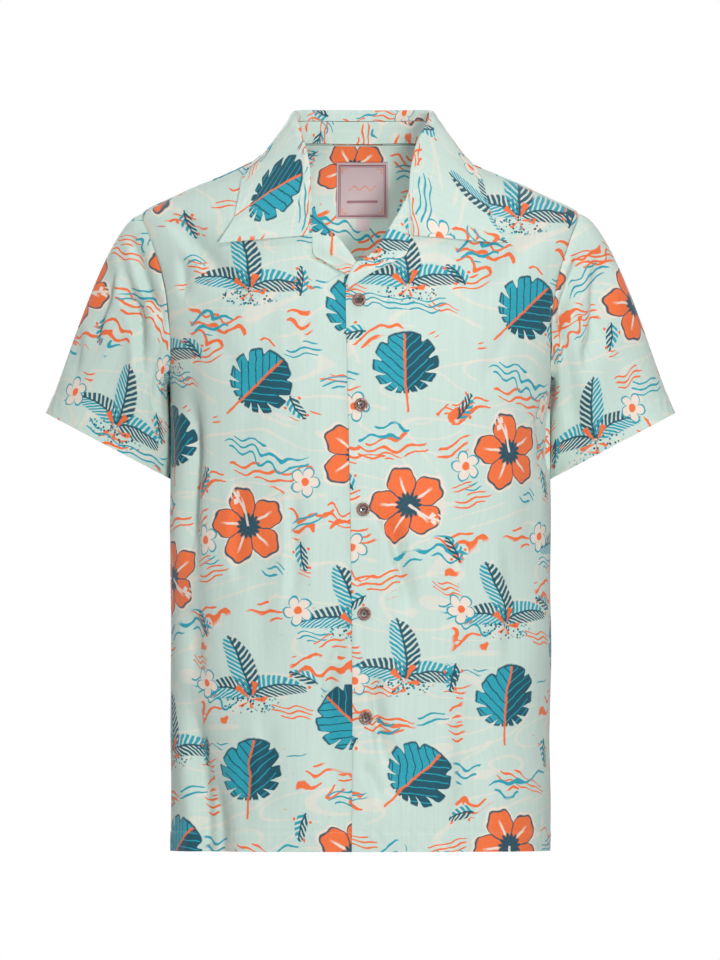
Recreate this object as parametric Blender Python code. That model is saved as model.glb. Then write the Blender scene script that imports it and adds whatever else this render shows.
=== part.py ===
"""A short-sleeved shirt with an open camp collar, filled out as it is worn, with no wearer.

Run it with blender --background --python part.py. It models the shirt at real size, in metres,
with +Z up, the fronts facing -Y and the wearer's left at +X. The origin is at the base of the
neck, level with the back neck seam, where the wearer's shoulders carry the shirt.

Each piece that a maker cuts and sews on is one closed wall of cloth in an object of its own.
The body's pieces lie on one form, which a table of level sections gives. A place on the form
is an angle round the body, in degrees from the centre front towards the wearer's left, and a
height. The sleeves run from the armholes to their hems, and the collar rises from the neck.
"""

import math

import bpy
import numpy as np
from mathutils.kdtree import KDTree

# ---------------------------------------------------------------- driving dimensions, in metres
WALL = 0.0012
SEAM_GAP = 0.0003
SHOULDER_SEAM_GAP = 0.0009  # added where the yoke's few rows meet the fronts' many columns
LAYER_STEP = 0.0017  # from the middle of one layer of cloth to the middle of the next
OVERLAP_STEP = 0.0026  # the same, where one front lies on the other
YOKE_STEP = 0.0030  # the same, from the outer yoke to the inner one

HEM_Z = -0.779
UNDERARM_Z = -0.270
SHOULDER_TIP_Z = -0.077
YOKE_SEAM_Z = -0.123
NECK_SEAM_Z = 0.0

SHOULDER_SEAM_ANGLE = 81.0  # the seam lies forward of the top of the shoulder
SIDE_SEAM_ANGLE = 103.0
ARMHOLE_TOP_ANGLE = 90.0
ARMHOLE_FRONT_REACH = 28.0  # degrees that the armhole cuts forward of its middle
ARMHOLE_BACK_REACH = 26.0

BODY_ROW_STEP = 0.037
FRONT_COLUMNS = 13
FRONT_COLUMN_STEP = 0.7  # first column step by the buttons, as a share of an even one
BACK_COLUMNS = 20
ARMHOLE_ROWS = 12
BACK_ARMHOLE_ROWS = 8
YOKE_SHOULDER_COLUMNS = 7
YOKE_BACK_COLUMNS = 14
YOKE_ROWS = 6
INNER_YOKE_SHORT = 2.0  # how many of its rows the inner yoke leaves out at the armholes
INNER_YOKE_FADE = 3  # columns over which it gets back to its full height, beside the shoulders
YOKE_NECK_CORNER = 104.0  # where the yoke's shoulders end and its back starts, at the neck
FRONT_NECK_DROP = 0.0025  # how far the neck seam has dropped where it meets the shoulder seams
NECK_DROP_START = 0.90  # share of the way from the centre back to the fronts where it starts

# The body's level sections. side_y is where a section is widest, front_y and back_y are its
# middle front and middle back, and fullness is 2 for an ellipse and more for a squarer one.
SECTION_COLUMNS = ("z", "half_width", "side_y", "front_y", "back_y", "fullness")
SECTIONS = (
    (0.010, 0.0530, 0.006, -0.046, 0.062, 1.80),
    (0.004, 0.0670, 0.005, -0.054, 0.067, 1.75),
    (0.000, 0.0765, 0.004, -0.058, 0.070, 1.70),
    (-0.017, 0.1130, 0.002, -0.066, 0.082, 1.65),
    (-0.032, 0.1455, 0.000, -0.072, 0.093, 1.65),
    (-0.058, 0.2035, -0.002, -0.081, 0.107, 1.70),
    (-0.0715, 0.2330, -0.003, -0.087, 0.112, 1.75),
    (-0.077, 0.2405, -0.003, -0.089, 0.114, 1.78),
    (-0.088, 0.2445, -0.004, -0.093, 0.117, 1.82),
    (-0.109, 0.2435, -0.006, -0.101, 0.122, 1.90),
    (-0.144, 0.2360, -0.009, -0.112, 0.127, 2.00),
    (-0.184, 0.2255, -0.013, -0.124, 0.131, 2.10),
    (-0.219, 0.2165, -0.016, -0.132, 0.132, 2.17),
    (-0.250, 0.2105, -0.018, -0.137, 0.132, 2.20),
    (-0.280, 0.2085, -0.018, -0.140, 0.131, 2.22),
    (-0.380, 0.2085, -0.018, -0.143, 0.127, 2.25),
    (-0.520, 0.2085, -0.018, -0.141, 0.124, 2.25),
    (-0.660, 0.2085, -0.018, -0.137, 0.124, 2.25),
    (-0.779, 0.2085, -0.018, -0.135, 0.126, 2.25),
)

# The largest folds of the body, each a soft trough that runs between two places. x is seen
# from the front, and side says which half of the body the fold lies on.
BODY_FOLD_COLUMNS = ("side", "top_x", "top_z", "low_x", "low_z", "half_width", "depth")
BODY_FOLDS = (
    ("front", -0.192, -0.100, -0.135, -0.165, 0.016, 0.0050),
    ("front", -0.188, -0.240, -0.188, -0.525, 0.014, 0.0075),
    ("front", -0.182, -0.500, -0.180, -0.640, 0.016, 0.0045),
    ("front", -0.168, -0.650, -0.158, -0.800, 0.019, 0.0110),
    ("front", -0.128, -0.665, -0.125, -0.760, 0.013, 0.0040),
    ("front", -0.112, -0.420, -0.108, -0.560, 0.016, 0.0040),
    ("front", -0.038, -0.580, -0.034, -0.700, 0.014, 0.0035),
    ("front", 0.192, -0.100, 0.140, -0.165, 0.016, 0.0040),
    ("front", 0.188, -0.300, 0.190, -0.500, 0.014, 0.0040),
    ("front", 0.125, -0.600, 0.130, -0.800, 0.018, 0.0050),
    ("front", 0.034, -0.400, 0.048, -0.520, 0.013, 0.0040),
    ("front", 0.022, -0.625, 0.032, -0.700, 0.013, 0.0035),
    ("back", -0.172, -0.180, -0.120, -0.330, 0.020, 0.0060),
    ("back", 0.172, -0.180, 0.124, -0.350, 0.020, 0.0055),
    ("back", -0.140, -0.470, -0.150, -0.800, 0.022, 0.0100),
    ("back", -0.040, -0.560, -0.048, -0.800, 0.020, 0.0060),
    ("back", 0.062, -0.520, 0.070, -0.800, 0.022, 0.0075),
    ("back", 0.160, -0.430, 0.164, -0.700, 0.018, 0.0060),
)

# Each fold runs on past its ends and fades there, both as shares of its length.
FOLD_OVERRUN = 0.35
FOLD_FADE = 0.3

# The front edges. The wearer's left front lies on top, and its edge leans a little.
FRONT_EDGE_COLUMNS = ("z", "left_edge_x", "button_x")
FRONT_EDGE = (
    (-0.779, -0.0094, 0.0060),
    (-0.640, -0.0086, 0.0059),
    (-0.520, -0.0094, 0.0042),
    (-0.400, -0.0110, 0.0030),
    (-0.280, -0.0137, 0.0006),
    (-0.164, -0.0160, -0.0018),
)
# The edge of each front above its lowest turn: the line that the lapel rolls over, and then
# the neck seam up to the shoulder seam.
ROLL_COLUMNS = ("z", "left_front_x", "right_front_x")
ROLL = (
    (-0.164, -0.0160, 0.0130),
    (-0.150, -0.0115, 0.0080),
    (-0.136, -0.0040, -0.0040),
    (-0.121, 0.0170, -0.0145),
    (-0.107, 0.0270, -0.0270),
    (-0.093, 0.0355, -0.0395),
    (-0.079, 0.0435, -0.0534),
    (-0.060, 0.0505, -0.0560),
    (-0.040, 0.0570, -0.0590),
    (-0.022, 0.0640, -0.0640),
)
ROLL_LOW_Z = -0.164
OVERLAP_FADE = (0.018, 0.055)  # x over which a front comes back to the form
LAPEL_BULK_Z = -0.152  # where the left front stands off most, over the right front's lapel
LAPEL_BULK_HEIGHT = 0.020

BUTTON_COUNT = 5
BUTTON_TOP_Z = -0.174
BUTTON_PITCH = 0.1144
BUTTON_RADIUS = 0.0075
BUTTON_THICKNESS = 0.0030
BUTTON_SIDES = 20
# The turned profile from the middle of the back to that of the face, as shares of the radius and
# of the thickness.
BUTTON_PROFILE = (
    (0.0, 0.0), (0.80, 0.0), (1.0, 0.40), (0.95, 0.90), (0.80, 1.0), (0.62, 0.66), (0.0, 0.60)
)

# The sleeve hems, seen from the front on the wearer's left: their outer and inner corners.
SLEEVE_HEM_OUTER = (0.3470, -0.2970)
SLEEVE_HEM_INNER = (0.2062, -0.3713)
SLEEVE_HEM_MIDDLE_Y = 0.024
SLEEVE_HEM_HALF_DEPTH = 0.053
SLEEVE_ROWS = 9
SLEEVE_LIP = 0.0024  # how far the cloth runs straight on from the armhole before it turns down
SLEEVE_CLEARANCE = 0.0026  # least distance of the sleeve's middle from the body's side
SLEEVE_TURN_ROOM = 0.62  # share of the wall that it stands off by where it turns sharply
SLEEVE_SIDE_ANGLES = (60.0, 125.0)  # the part of the body's side that it can come near
SLEEVE_SIDE_LOW_Z = -0.420

# How each sleeve leaves the armhole and reaches its hem. turn is degrees round the armhole
# from its top over the front, out and down are the sleeve's first run, and end is its last.
SLEEVE_RUN_COLUMNS = ("turn", "out", "forward", "down", "end")
SLEEVE_RUNS = (
    (0.0, 0.122, 0.000, 0.042, 0.190),
    (45.0, 0.086, -0.012, 0.052, 0.170),
    (90.0, 0.046, -0.014, 0.056, 0.130),
    (135.0, 0.038, -0.004, 0.016, 0.090),
    (180.0, 0.026, 0.000, 0.002, 0.070),
    (225.0, 0.038, 0.006, 0.016, 0.090),
    (270.0, 0.046, 0.016, 0.056, 0.130),
    (315.0, 0.086, 0.012, 0.052, 0.170),
    (360.0, 0.122, 0.000, 0.042, 0.190),
)
# Folds of the sleeves: turn is degrees round from the top over the front, and along runs from
# 0 at the armhole to 1 at the hem. They run on past their ends and fade in and out there.
SLEEVE_FOLD_OVERRUN = 0.3
SLEEVE_FOLD_FADE_IN = (-0.15, 0.25)
SLEEVE_FOLD_FADE_OUT = (0.75, 1.25)
SLEEVE_FOLD_COLUMNS = (
    "sleeve", "top_turn", "top_along", "low_turn", "low_along", "half_turn", "depth"
)
SLEEVE_FOLDS = (
    ("right", 62.0, 0.02, 78.0, 0.95, 15.0, 0.0060),
    ("right", 100.0, 0.02, 122.0, 0.60, 13.0, 0.0045),
    ("right", 300.0, 0.05, 285.0, 0.80, 18.0, 0.0060),
    ("right", 235.0, 0.02, 245.0, 0.70, 16.0, 0.0050),
    ("left", 92.0, 0.02, 118.0, 0.85, 14.0, 0.0060),
    ("left", 52.0, 0.10, 66.0, 0.98, 18.0, 0.0045),
    ("left", 296.0, 0.05, 280.0, 0.80, 18.0, 0.0055),
    ("left", 232.0, 0.02, 244.0, 0.70, 16.0, 0.0050),
)

# The collar, from the centre back (station 0) to the front end on each side (station 1). The
# fold is its highest line, and the edge is the free edge of the leaf. strip is how far the leaf
# goes down inside the fold, and bulge is how far it swells out as it turns over.
COLLAR_STATIONS = 15
COLLAR_COLUMNS = (
    "station", "fold_x", "fold_y", "fold_z", "edge_x", "edge_y", "edge_z", "strip", "bulge"
)
COLLAR = (
    (0.00, 0.0000, 0.0700, 0.0365, 0.0000, 0.1060, -0.0270, 0.0110, 0.0050),
    (0.12, 0.0300, 0.0655, 0.0365, 0.0420, 0.1010, -0.0275, 0.0110, 0.0050),
    (0.25, 0.0580, 0.0480, 0.0365, 0.0800, 0.0780, -0.0270, 0.0110, 0.0050),
    (0.37, 0.0735, 0.0220, 0.0352, 0.1040, 0.0390, -0.0200, 0.0110, 0.0048),
    (0.48, 0.0730, -0.0040, 0.0290, 0.1140, 0.0020, -0.0185, 0.0105, 0.0045),
    (0.60, 0.0655, -0.0300, 0.0110, 0.1290, -0.0330, -0.0420, 0.0095, 0.0040),
    (0.72, 0.0585, -0.0530, -0.0120, 0.1360, -0.0600, -0.0680, 0.0080, 0.0036),
    (0.84, 0.0550, -0.0700, -0.0400, 0.1440, -0.0790, -0.0860, 0.0060, 0.0030),
    (0.93, 0.0560, -0.0830, -0.0750, 0.1540, -0.0870, -0.1020, 0.0015, 0.0010),
    (1.00, 0.0575, -0.0930, -0.1040, 0.1590, -0.0900, -0.1100, 0.0012, 0.0008),
)
COLLAR_FORM_HEIGHTS = (-0.200, 0.003)  # the part of the body that the collar lies over
NECK_SEAM_END_STATION = 0.93
STRIP_TURN_STATION = 0.86  # from here on the strip inside the fold turns towards the lapel
POINT_START_STATION = 0.80  # from here on the collar's points lift off the fronts
STAND_END = 11  # stations from the centre back to each end of the stand
STAND_SET_IN = 0.0014
STAND_SET_UP = 0.0006
GORGE_ROW = 6  # the row of ROLL at which the neck seam ends and the lapel's roll starts
LEAF_ROWS = 7
LEAF_CLEARANCE = 0.0024  # least distance of the leaf's middle from the body's form
# How far the leaf turns out and down round its fold, in shares of the bulge, from the outside in.
LEAF_FOLD_PROFILE = ((1.3, 0.35), (0.5, -0.15), (0.0, 0.2))
LEAF_SWELL, LEAF_SWELL_POWER = 0.9, 1.5  # the same for its swell below the fold
COLLAR_LEAN = 0.003  # how far the collar sits over to the wearer's left
COLLAR_LEAN_FADE = (0.45, 0.70)  # stations over which the fold comes back from that
POINT_LIFT = 0.006  # how far the collar's points stand up from the fronts

# The lapels: the turned-out tops of the fronts, as (roll x, roll z, edge x, edge z).
LAPEL_COLUMNS = ("roll_x", "roll_z", "edge_x", "edge_z")
RIGHT_LAPEL = (
    (-0.0500, -0.082, -0.0525, -0.084),
    (-0.0440, -0.088, -0.0528, -0.094),
    (-0.0347, -0.098, -0.0528, -0.108),
    (-0.0250, -0.107, -0.0520, -0.1215),
    (-0.0180, -0.1166, -0.0400, -0.1300),
    (-0.0110, -0.126, -0.0230, -0.1410),
    (-0.0045, -0.1345, -0.0055, -0.1515),
)
LEFT_LAPEL = (
    (0.0420, -0.082, 0.0520, -0.085),
    (0.0360, -0.092, 0.0528, -0.098),
    (0.0270, -0.1065, 0.0526, -0.115),
    (0.0170, -0.121, 0.0500, -0.1235),
    (0.0060, -0.129, 0.0300, -0.1360),
    (-0.0040, -0.136, 0.0110, -0.1460),
    (-0.0110, -0.150, -0.0030, -0.1560),
    (-0.0145, -0.160, -0.0120, -0.1640),
)

# Across a lapel from inside the roll to its edge: share of its width, how far it stands out past
# the roll, and its height over the front in layers.
LAPEL_PROFILE = (
    (0.0, 0.0010, 0.1), (0.0, 0.0024, 0.6), (0.0, 0.0012, 1.2), (0.12, 0.0, 1.35),
    (0.35, 0.0, 1.3), (0.65, 0.0, 1.15), (1.0, 0.0, 1.0)
)
LAPEL_LAYER = 1.15 * LAYER_STEP

LABEL_SPAN = (-0.0272, 0.0312)
LABEL_HEIGHTS = (-0.0170, -0.0800)
SIZE_TAB_SPAN = (-0.0040, 0.0102)
SIZE_TAB_HEIGHTS = (-0.0805, -0.0940)
LABEL_WALL = 0.0010
LABEL_CELLS = 6
SIZE_TAB_CELLS = 2

FORM_TREE_TURN, FORM_TREE_RISE = 2.0, 0.003  # steps of the points that clearances are kept from
SHARP_ANGLE = math.radians(50.0)

MINT = (0.57, 0.73, 0.66, 1.0)
MAUVE = (0.50, 0.36, 0.38, 1.0)
SHELL_BROWN = (0.16, 0.09, 0.07, 1.0)


# ------------------------------------------------------------------------- tables and curves
def column(table, columns, name):
    """The named column of a table, as an array."""
    place = columns.index(name)
    return np.array([row[place] for row in table])


def through(stations, values, at):
    """Read a smooth curve through the values, which doesn't overshoot them, at some stations."""
    order = np.argsort(stations)
    xs = np.asarray(stations, float)[order]
    ys = np.asarray(values, float)[order]
    steps = np.diff(xs)
    slopes = np.diff(ys) / steps
    tangents = np.zeros_like(ys)
    tangents[0], tangents[-1] = slopes[0], slopes[-1]
    same_way = slopes[:-1] * slopes[1:] > 0
    products = np.where(same_way, slopes[:-1] * slopes[1:], 0.0)
    sums = np.where(same_way, slopes[:-1] + slopes[1:], 1.0)
    tangents[1:-1] = 2.0 * products / sums
    at = np.clip(np.asarray(at, float), xs[0], xs[-1])
    cell = np.clip(np.searchsorted(xs, at, side="right") - 1, 0, len(steps) - 1)
    width = steps[cell]
    t = (at - xs[cell]) / width
    return (
        ys[cell] * (1 + 2 * t) * (1 - t) ** 2
        + tangents[cell] * width * t * (1 - t) ** 2
        + ys[cell + 1] * t * t * (3 - 2 * t)
        + tangents[cell + 1] * width * t * t * (t - 1)
    )


def smooth_step(value, low, high):
    """0 at low, 1 at high, and smooth between."""
    t = np.clip((np.asarray(value, float) - low) / (high - low), 0.0, 1.0)
    return t * t * (3.0 - 2.0 * t)


def unit(vectors):
    """The vectors at length 1."""
    return vectors / np.maximum(np.linalg.norm(vectors, axis=-1, keepdims=True), 1e-12)


# ------------------------------------------------------------------------------ the body form
def section_at(z):
    """Half width, side, front and back y, and fullness of the level section at each height."""
    heights = column(SECTIONS, SECTION_COLUMNS, "z")
    return tuple(
        through(heights, column(SECTIONS, SECTION_COLUMNS, name), z)
        for name in SECTION_COLUMNS[1:]
    )


def bare_form(angle, z):
    """Points of the body's form without its folds."""
    half_width, side_y, front_y, back_y, fullness = section_at(z)
    power = 2.0 / fullness
    across = np.sin(np.radians(angle))
    along = np.cos(np.radians(angle))
    x = half_width * np.sign(across) * np.abs(across) ** power
    reach = np.where(along > 0, front_y, back_y) - side_y
    y = side_y + reach * np.abs(along) ** power
    return np.stack([x, y, np.broadcast_to(z, x.shape)], axis=-1)


def form_normals(angle, z):
    """Outward normals of the body's form."""
    turn, rise = 0.4, 0.0008
    round_body = bare_form(angle + turn, z) - bare_form(angle - turn, z)
    upwards = bare_form(angle, z + rise) - bare_form(angle, z - rise)
    return unit(np.cross(round_body, upwards))


def front_angle(x, z):
    """The angle on the body's front at which the form has this x."""
    half_width, _, _, _, fullness = section_at(z)
    share = np.clip(np.abs(x) / half_width, 0.0, 1.0)
    return np.degrees(np.arcsin(share ** (fullness / 2.0))) * np.sign(x)


def back_angle(x, z):
    """The angle on the body's back at which the form has this x."""
    return 180.0 - front_angle(x, z)


def body_fold_depth(points, front):
    """How far the folds draw the cloth in at each point. front is true for points on the front."""
    drawn_in = np.zeros(points.shape[:-1])
    for side, top_x, top_z, low_x, low_z, half_width, depth in BODY_FOLDS:
        along = (points[..., 2] - top_z) / (low_z - top_z)
        along = np.clip(along, -FOLD_OVERRUN, 1.0 + FOLD_OVERRUN)
        middle_x = top_x + (low_x - top_x) * along
        near = np.exp(-(((points[..., 0] - middle_x) / half_width) ** 2))
        fade_out = smooth_step(along, 1.0 - FOLD_FADE, 1.0 + FOLD_FADE)
        fade = smooth_step(along, -FOLD_FADE, FOLD_FADE) * (1.0 - fade_out)
        drawn_in += np.where(front == (side == "front"), depth * near * fade, 0.0)
    return drawn_in


def body_points(angle, z, lift=0.0):
    """Points on the folded body, moved out by lift."""
    angle, z = np.broadcast_arrays(np.asarray(angle, float), np.asarray(z, float))
    points = bare_form(angle, z)
    front = np.cos(np.radians(angle)) > 0
    move = np.asarray(lift) - body_fold_depth(points, front)
    return points + form_normals(angle, z) * move[..., None]


# --------------------------------------------------------------------------------- armholes
ARMHOLE_MIDDLE_Z = (SHOULDER_TIP_Z + UNDERARM_Z) / 2.0
ARMHOLE_HALF_HEIGHT = (SHOULDER_TIP_Z - UNDERARM_Z) / 2.0


def armhole_middle_angle(z):
    """The angle of the armhole's middle line, which leans back towards the underarm."""
    drop = (SHOULDER_TIP_Z - z) / (SHOULDER_TIP_Z - UNDERARM_Z)
    return ARMHOLE_TOP_ANGLE + (SIDE_SEAM_ANGLE - ARMHOLE_TOP_ANGLE) * drop


def armhole_at(turn):
    """Angle and height of the wearer's left armhole, turn degrees from its top over the front."""
    turn = np.radians(np.asarray(turn, float))
    z = ARMHOLE_MIDDLE_Z + ARMHOLE_HALF_HEIGHT * np.cos(turn)
    reach = np.where(np.sin(turn) > 0, ARMHOLE_FRONT_REACH, ARMHOLE_BACK_REACH)
    return armhole_middle_angle(z) - reach * np.sin(turn), z


def turn_at_height(z):
    """The turn at which the armhole's front half has this height."""
    share = np.clip((z - ARMHOLE_MIDDLE_Z) / ARMHOLE_HALF_HEIGHT, -1.0, 1.0)
    return np.degrees(np.arccos(share))


def turn_at_shoulder_seam():
    """The turn at which the armhole meets the shoulder seam, found by halving."""
    low, high = 0.0, 90.0
    for _ in range(40):
        middle = (low + high) / 2.0
        angle, _ = armhole_at(middle)
        low, high = (middle, high) if angle > SHOULDER_SEAM_ANGLE else (low, middle)
    return low


SHOULDER_SEAM_TURN = turn_at_shoulder_seam()
YOKE_SEAM_TURN = 360.0 - turn_at_height(YOKE_SEAM_Z)
FRONT_TURNS = np.linspace(180.0, SHOULDER_SEAM_TURN, ARMHOLE_ROWS + 1)
YOKE_TURNS = np.linspace(SHOULDER_SEAM_TURN, YOKE_SEAM_TURN - 360.0, YOKE_SHOULDER_COLUMNS + 1)
BACK_TURNS = np.linspace(180.0, YOKE_SEAM_TURN, BACK_ARMHOLE_ROWS + 1)
SIDE_ROWS = round((UNDERARM_Z - HEM_Z) / BODY_ROW_STEP)
SIDE_HEIGHTS = np.linspace(HEM_Z, UNDERARM_Z, SIDE_ROWS + 1)


# ------------------------------------------------------------------------- walls from grids
def grid_normals(grid, around=False):
    """Normals of a grid of points. around is true where its columns close on themselves."""
    if around:
        across = np.roll(grid, -1, axis=1) - np.roll(grid, 1, axis=1)
    else:
        across = np.gradient(grid, axis=1)
    return unit(np.cross(across, np.gradient(grid, axis=0)))


def pull_in(grid, gap=SEAM_GAP / 2.0, sides=("low", "high", "first", "last")):
    """Draw the named edges of a grid in by a gap, along its rows and columns."""
    edges = {
        "low": ((0, slice(None)), (1, slice(None))),
        "high": ((-1, slice(None)), (-2, slice(None))),
        "first": ((slice(None), 0), (slice(None), 1)),
        "last": ((slice(None), -1), (slice(None), -2)),
    }
    moved = grid.copy()
    for side in sides:
        edge, inner = edges[side]
        moved[edge] += unit(grid[inner] - grid[edge]) * gap
    return moved


def inner_layer(grid, step):
    """The middle of a second layer of cloth, this far inside the first."""
    normals = grid_normals(grid)
    if np.sum(normals * (grid - grid.mean(axis=(0, 1)))) < 0:
        normals = -normals
    return grid - normals * step


def make_wall(name, grid, material, thickness=WALL, around=False):
    """Turn a grid of points in the middle of the cloth into one closed wall."""
    normals = grid_normals(grid, around)
    rows, columns = grid.shape[:2]
    skins = [grid + normals * thickness / 2.0, grid - normals * thickness / 2.0]
    vertices = np.concatenate([skin.reshape(-1, 3) for skin in skins])

    def at(row, place, layer):
        """The number of one vertex."""
        return (layer * rows + row) * columns + place % columns

    faces = []

    def add_strip(low, high, turned=False):
        """Add a quad as two triangles between two pairs of corners."""
        (a, b), (c, d) = low, high
        for corner in ((a, b, d), (a, d, c)):
            faces.append(corner[::-1] if turned else corner)

    for row in range(rows - 1):
        for place in range(columns if around else columns - 1):
            for layer in (0, 1):
                low = (at(row, place, layer), at(row, place + 1, layer))
                high = (at(row + 1, place, layer), at(row + 1, place + 1, layer))
                add_strip(low, high, turned=layer == 1)
    for row, turned in ((0, False), (rows - 1, True)):
        for place in range(columns if around else columns - 1):
            low = (at(row, place, 1), at(row, place + 1, 1))
            high = (at(row, place, 0), at(row, place + 1, 0))
            add_strip(low, high, turned)
    if not around:
        for place, turned in ((0, True), (columns - 1, False)):
            for row in range(rows - 1):
                low = (at(row, place, 1), at(row + 1, place, 1))
                high = (at(row, place, 0), at(row + 1, place, 0))
                add_strip(low, high, turned)
    mesh = bpy.data.meshes.new(name)
    mesh.from_pydata(vertices.tolist(), [], faces)
    mesh.update()
    return place_mesh(name, mesh, material)


def place_mesh(name, mesh, material):
    """Put a mesh in the scene as one shaded object whose faces point out."""
    points = np.array([v.co for v in mesh.vertices])
    mesh.calc_loop_triangles()
    corners = points[np.array([t.vertices for t in mesh.loop_triangles])]
    if np.linalg.det(corners).sum() < 0:
        mesh.flip_normals()
    mesh.materials.append(material)
    mesh.shade_smooth()
    mesh.set_sharp_from_angle(angle=SHARP_ANGLE)
    obj = bpy.data.objects.new(name, mesh)
    bpy.context.scene.collection.objects.link(obj)
    return obj


def make_material(name, colour, roughness):
    """A plain surface of one colour."""
    material = bpy.data.materials.new(name)
    material.use_nodes = True
    shader = material.node_tree.nodes["Principled BSDF"]
    shader.inputs["Base Color"].default_value = colour
    shader.inputs["Roughness"].default_value = roughness
    shader.inputs["Metallic"].default_value = 0.0
    return material


def mirrored(grid):
    """The grid on the other side of the body, with its columns still running the same way."""
    return (grid * np.array([-1.0, 1.0, 1.0]))[:, ::-1]


# ------------------------------------------------------------------------------ body pieces
def front_lift(x, z, left):
    """How far a front stands off the form near the centre, where the left lies on the right."""
    if left:
        over = 1.0 - smooth_step(x, *OVERLAP_FADE)
        over_lapel = np.exp(-(((z - LAPEL_BULK_Z) / LAPEL_BULK_HEIGHT) ** 2))
        return OVERLAP_STEP / 2.0 * over + OVERLAP_STEP * over * over_lapel
    return -OVERLAP_STEP / 2.0 * (1.0 - smooth_step(-x, *OVERLAP_FADE))


def front_edge_path(left):
    """Angle and height of a front's edge, from the hem up its edge, the roll and the neck seam."""
    heights = column(FRONT_EDGE, FRONT_EDGE_COLUMNS, "z")
    edges = column(FRONT_EDGE, FRONT_EDGE_COLUMNS, "left_edge_x")
    buttons = column(FRONT_EDGE, FRONT_EDGE_COLUMNS, "button_x")
    if not left:
        edges = 2.0 * buttons - edges
    low = through(heights, edges, SIDE_HEIGHTS)
    high_z = np.concatenate([[(UNDERARM_Z + ROLL_LOW_Z) / 2.0], column(ROLL, ROLL_COLUMNS, "z")])
    roll = column(ROLL, ROLL_COLUMNS, "left_front_x" if left else "right_front_x")
    first = through(heights, edges, high_z[:1])
    x = np.concatenate([low, first, roll])
    z = np.concatenate([SIDE_HEIGHTS, high_z])
    angle = front_angle(x, z)
    seam = SHOULDER_SEAM_ANGLE if left else -SHOULDER_SEAM_ANGLE
    return np.append(angle, seam), np.append(z, NECK_SEAM_Z - FRONT_NECK_DROP)


def front_grid(left):
    """The middle of one front's cloth, from its edge to the side seam and armhole."""
    edge_angle, edge_z = front_edge_path(left)
    arm_angle, arm_z = armhole_at(FRONT_TURNS)
    side_angle = np.concatenate([np.full(SIDE_ROWS, SIDE_SEAM_ANGLE), arm_angle])
    side_z = np.concatenate([SIDE_HEIGHTS[:-1], arm_z])
    if not left:
        side_angle = -side_angle
    even = np.linspace(0.0, 1.0, FRONT_COLUMNS + 1)[None, :]
    share = even * (FRONT_COLUMN_STEP + (1.0 - FRONT_COLUMN_STEP) * even)
    angle = edge_angle[:, None] * (1.0 - share) + side_angle[:, None] * share
    z = edge_z[:, None] * (1.0 - share) + side_z[:, None] * share
    x = bare_form(angle, z)[..., 0]
    return body_points(angle, z, front_lift(x, z, left))


def back_grid():
    """The middle of the back's cloth, from side to side and from the hem to the yoke seam."""
    arm_angle, arm_z = armhole_at(BACK_TURNS)
    side_angle = np.concatenate([np.full(SIDE_ROWS, SIDE_SEAM_ANGLE), arm_angle])
    z = np.concatenate([SIDE_HEIGHTS[:-1], arm_z])
    share = np.linspace(0.0, 1.0, BACK_COLUMNS + 1)[None, :]
    angle = side_angle[:, None] * (1.0 - share) + (360.0 - side_angle[:, None]) * share
    return body_points(angle, np.broadcast_to(z[:, None], angle.shape))


def yoke_grid(lift):
    """The middle of a yoke's cloth, from the neck seam out to the armholes and the yoke seam."""
    arm_angle, arm_z = armhole_at(YOKE_TURNS)
    back_share = np.linspace(0.0, 1.0, YOKE_BACK_COLUMNS + 1)[1:-1]
    back = arm_angle[-1] + (360.0 - 2.0 * arm_angle[-1]) * back_share
    outer_angle = np.concatenate([arm_angle, back, 360.0 - arm_angle[::-1]])
    outer_z = np.concatenate([arm_z, np.full(back.shape, YOKE_SEAM_Z), arm_z[::-1]])
    neck_side = np.linspace(SHOULDER_SEAM_ANGLE, YOKE_NECK_CORNER, YOKE_SHOULDER_COLUMNS + 1)
    neck_back = YOKE_NECK_CORNER + (360.0 - 2.0 * YOKE_NECK_CORNER) * back_share
    inner_angle = np.concatenate([neck_side, neck_back, 360.0 - neck_side[::-1]])
    front_share = np.abs(inner_angle - 180.0) / (180.0 - SHOULDER_SEAM_ANGLE)
    inner_z = NECK_SEAM_Z - FRONT_NECK_DROP * smooth_step(front_share, NECK_DROP_START, 1.0)
    share = np.linspace(0.0, 1.0, YOKE_ROWS + 1)[::-1, None]
    angle = inner_angle * (1.0 - share) + outer_angle * share
    z = inner_z * (1.0 - share) + outer_z * share
    return body_points(angle, z, lift)


def inner_yoke_grid(yoke):
    """The middle of the inner yoke's cloth, which stops short of the armholes."""
    layer = inner_layer(yoke, YOKE_STEP)
    places = np.arange(layer.shape[1])
    from_end = np.minimum(places, places[::-1])
    corner = YOKE_SHOULDER_COLUMNS
    back = smooth_step(from_end, corner, corner + INNER_YOKE_FADE)
    grid = np.empty_like(layer)
    rows = np.arange(YOKE_ROWS + 1)
    for place in places:
        stops = np.linspace(INNER_YOKE_SHORT * (1.0 - back[place]), YOKE_ROWS, YOKE_ROWS + 1)
        for axis in range(3):
            grid[:, place, axis] = np.interp(stops, rows, layer[:, place, axis])
    return grid


# ---------------------------------------------------------------------------------- sleeves
def sleeve_turns():
    """The armhole's turns, rising all the way round from the underarm at 180 to 540."""
    up_the_back = BACK_TURNS[1:-1]
    over_the_top = YOKE_TURNS[::-1] % 360.0
    over_the_top = np.where(over_the_top < 180.0, over_the_top + 360.0, over_the_top)
    down_the_front = FRONT_TURNS[::-1][1:] + 360.0
    return np.concatenate([up_the_back, over_the_top, down_the_front])


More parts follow.
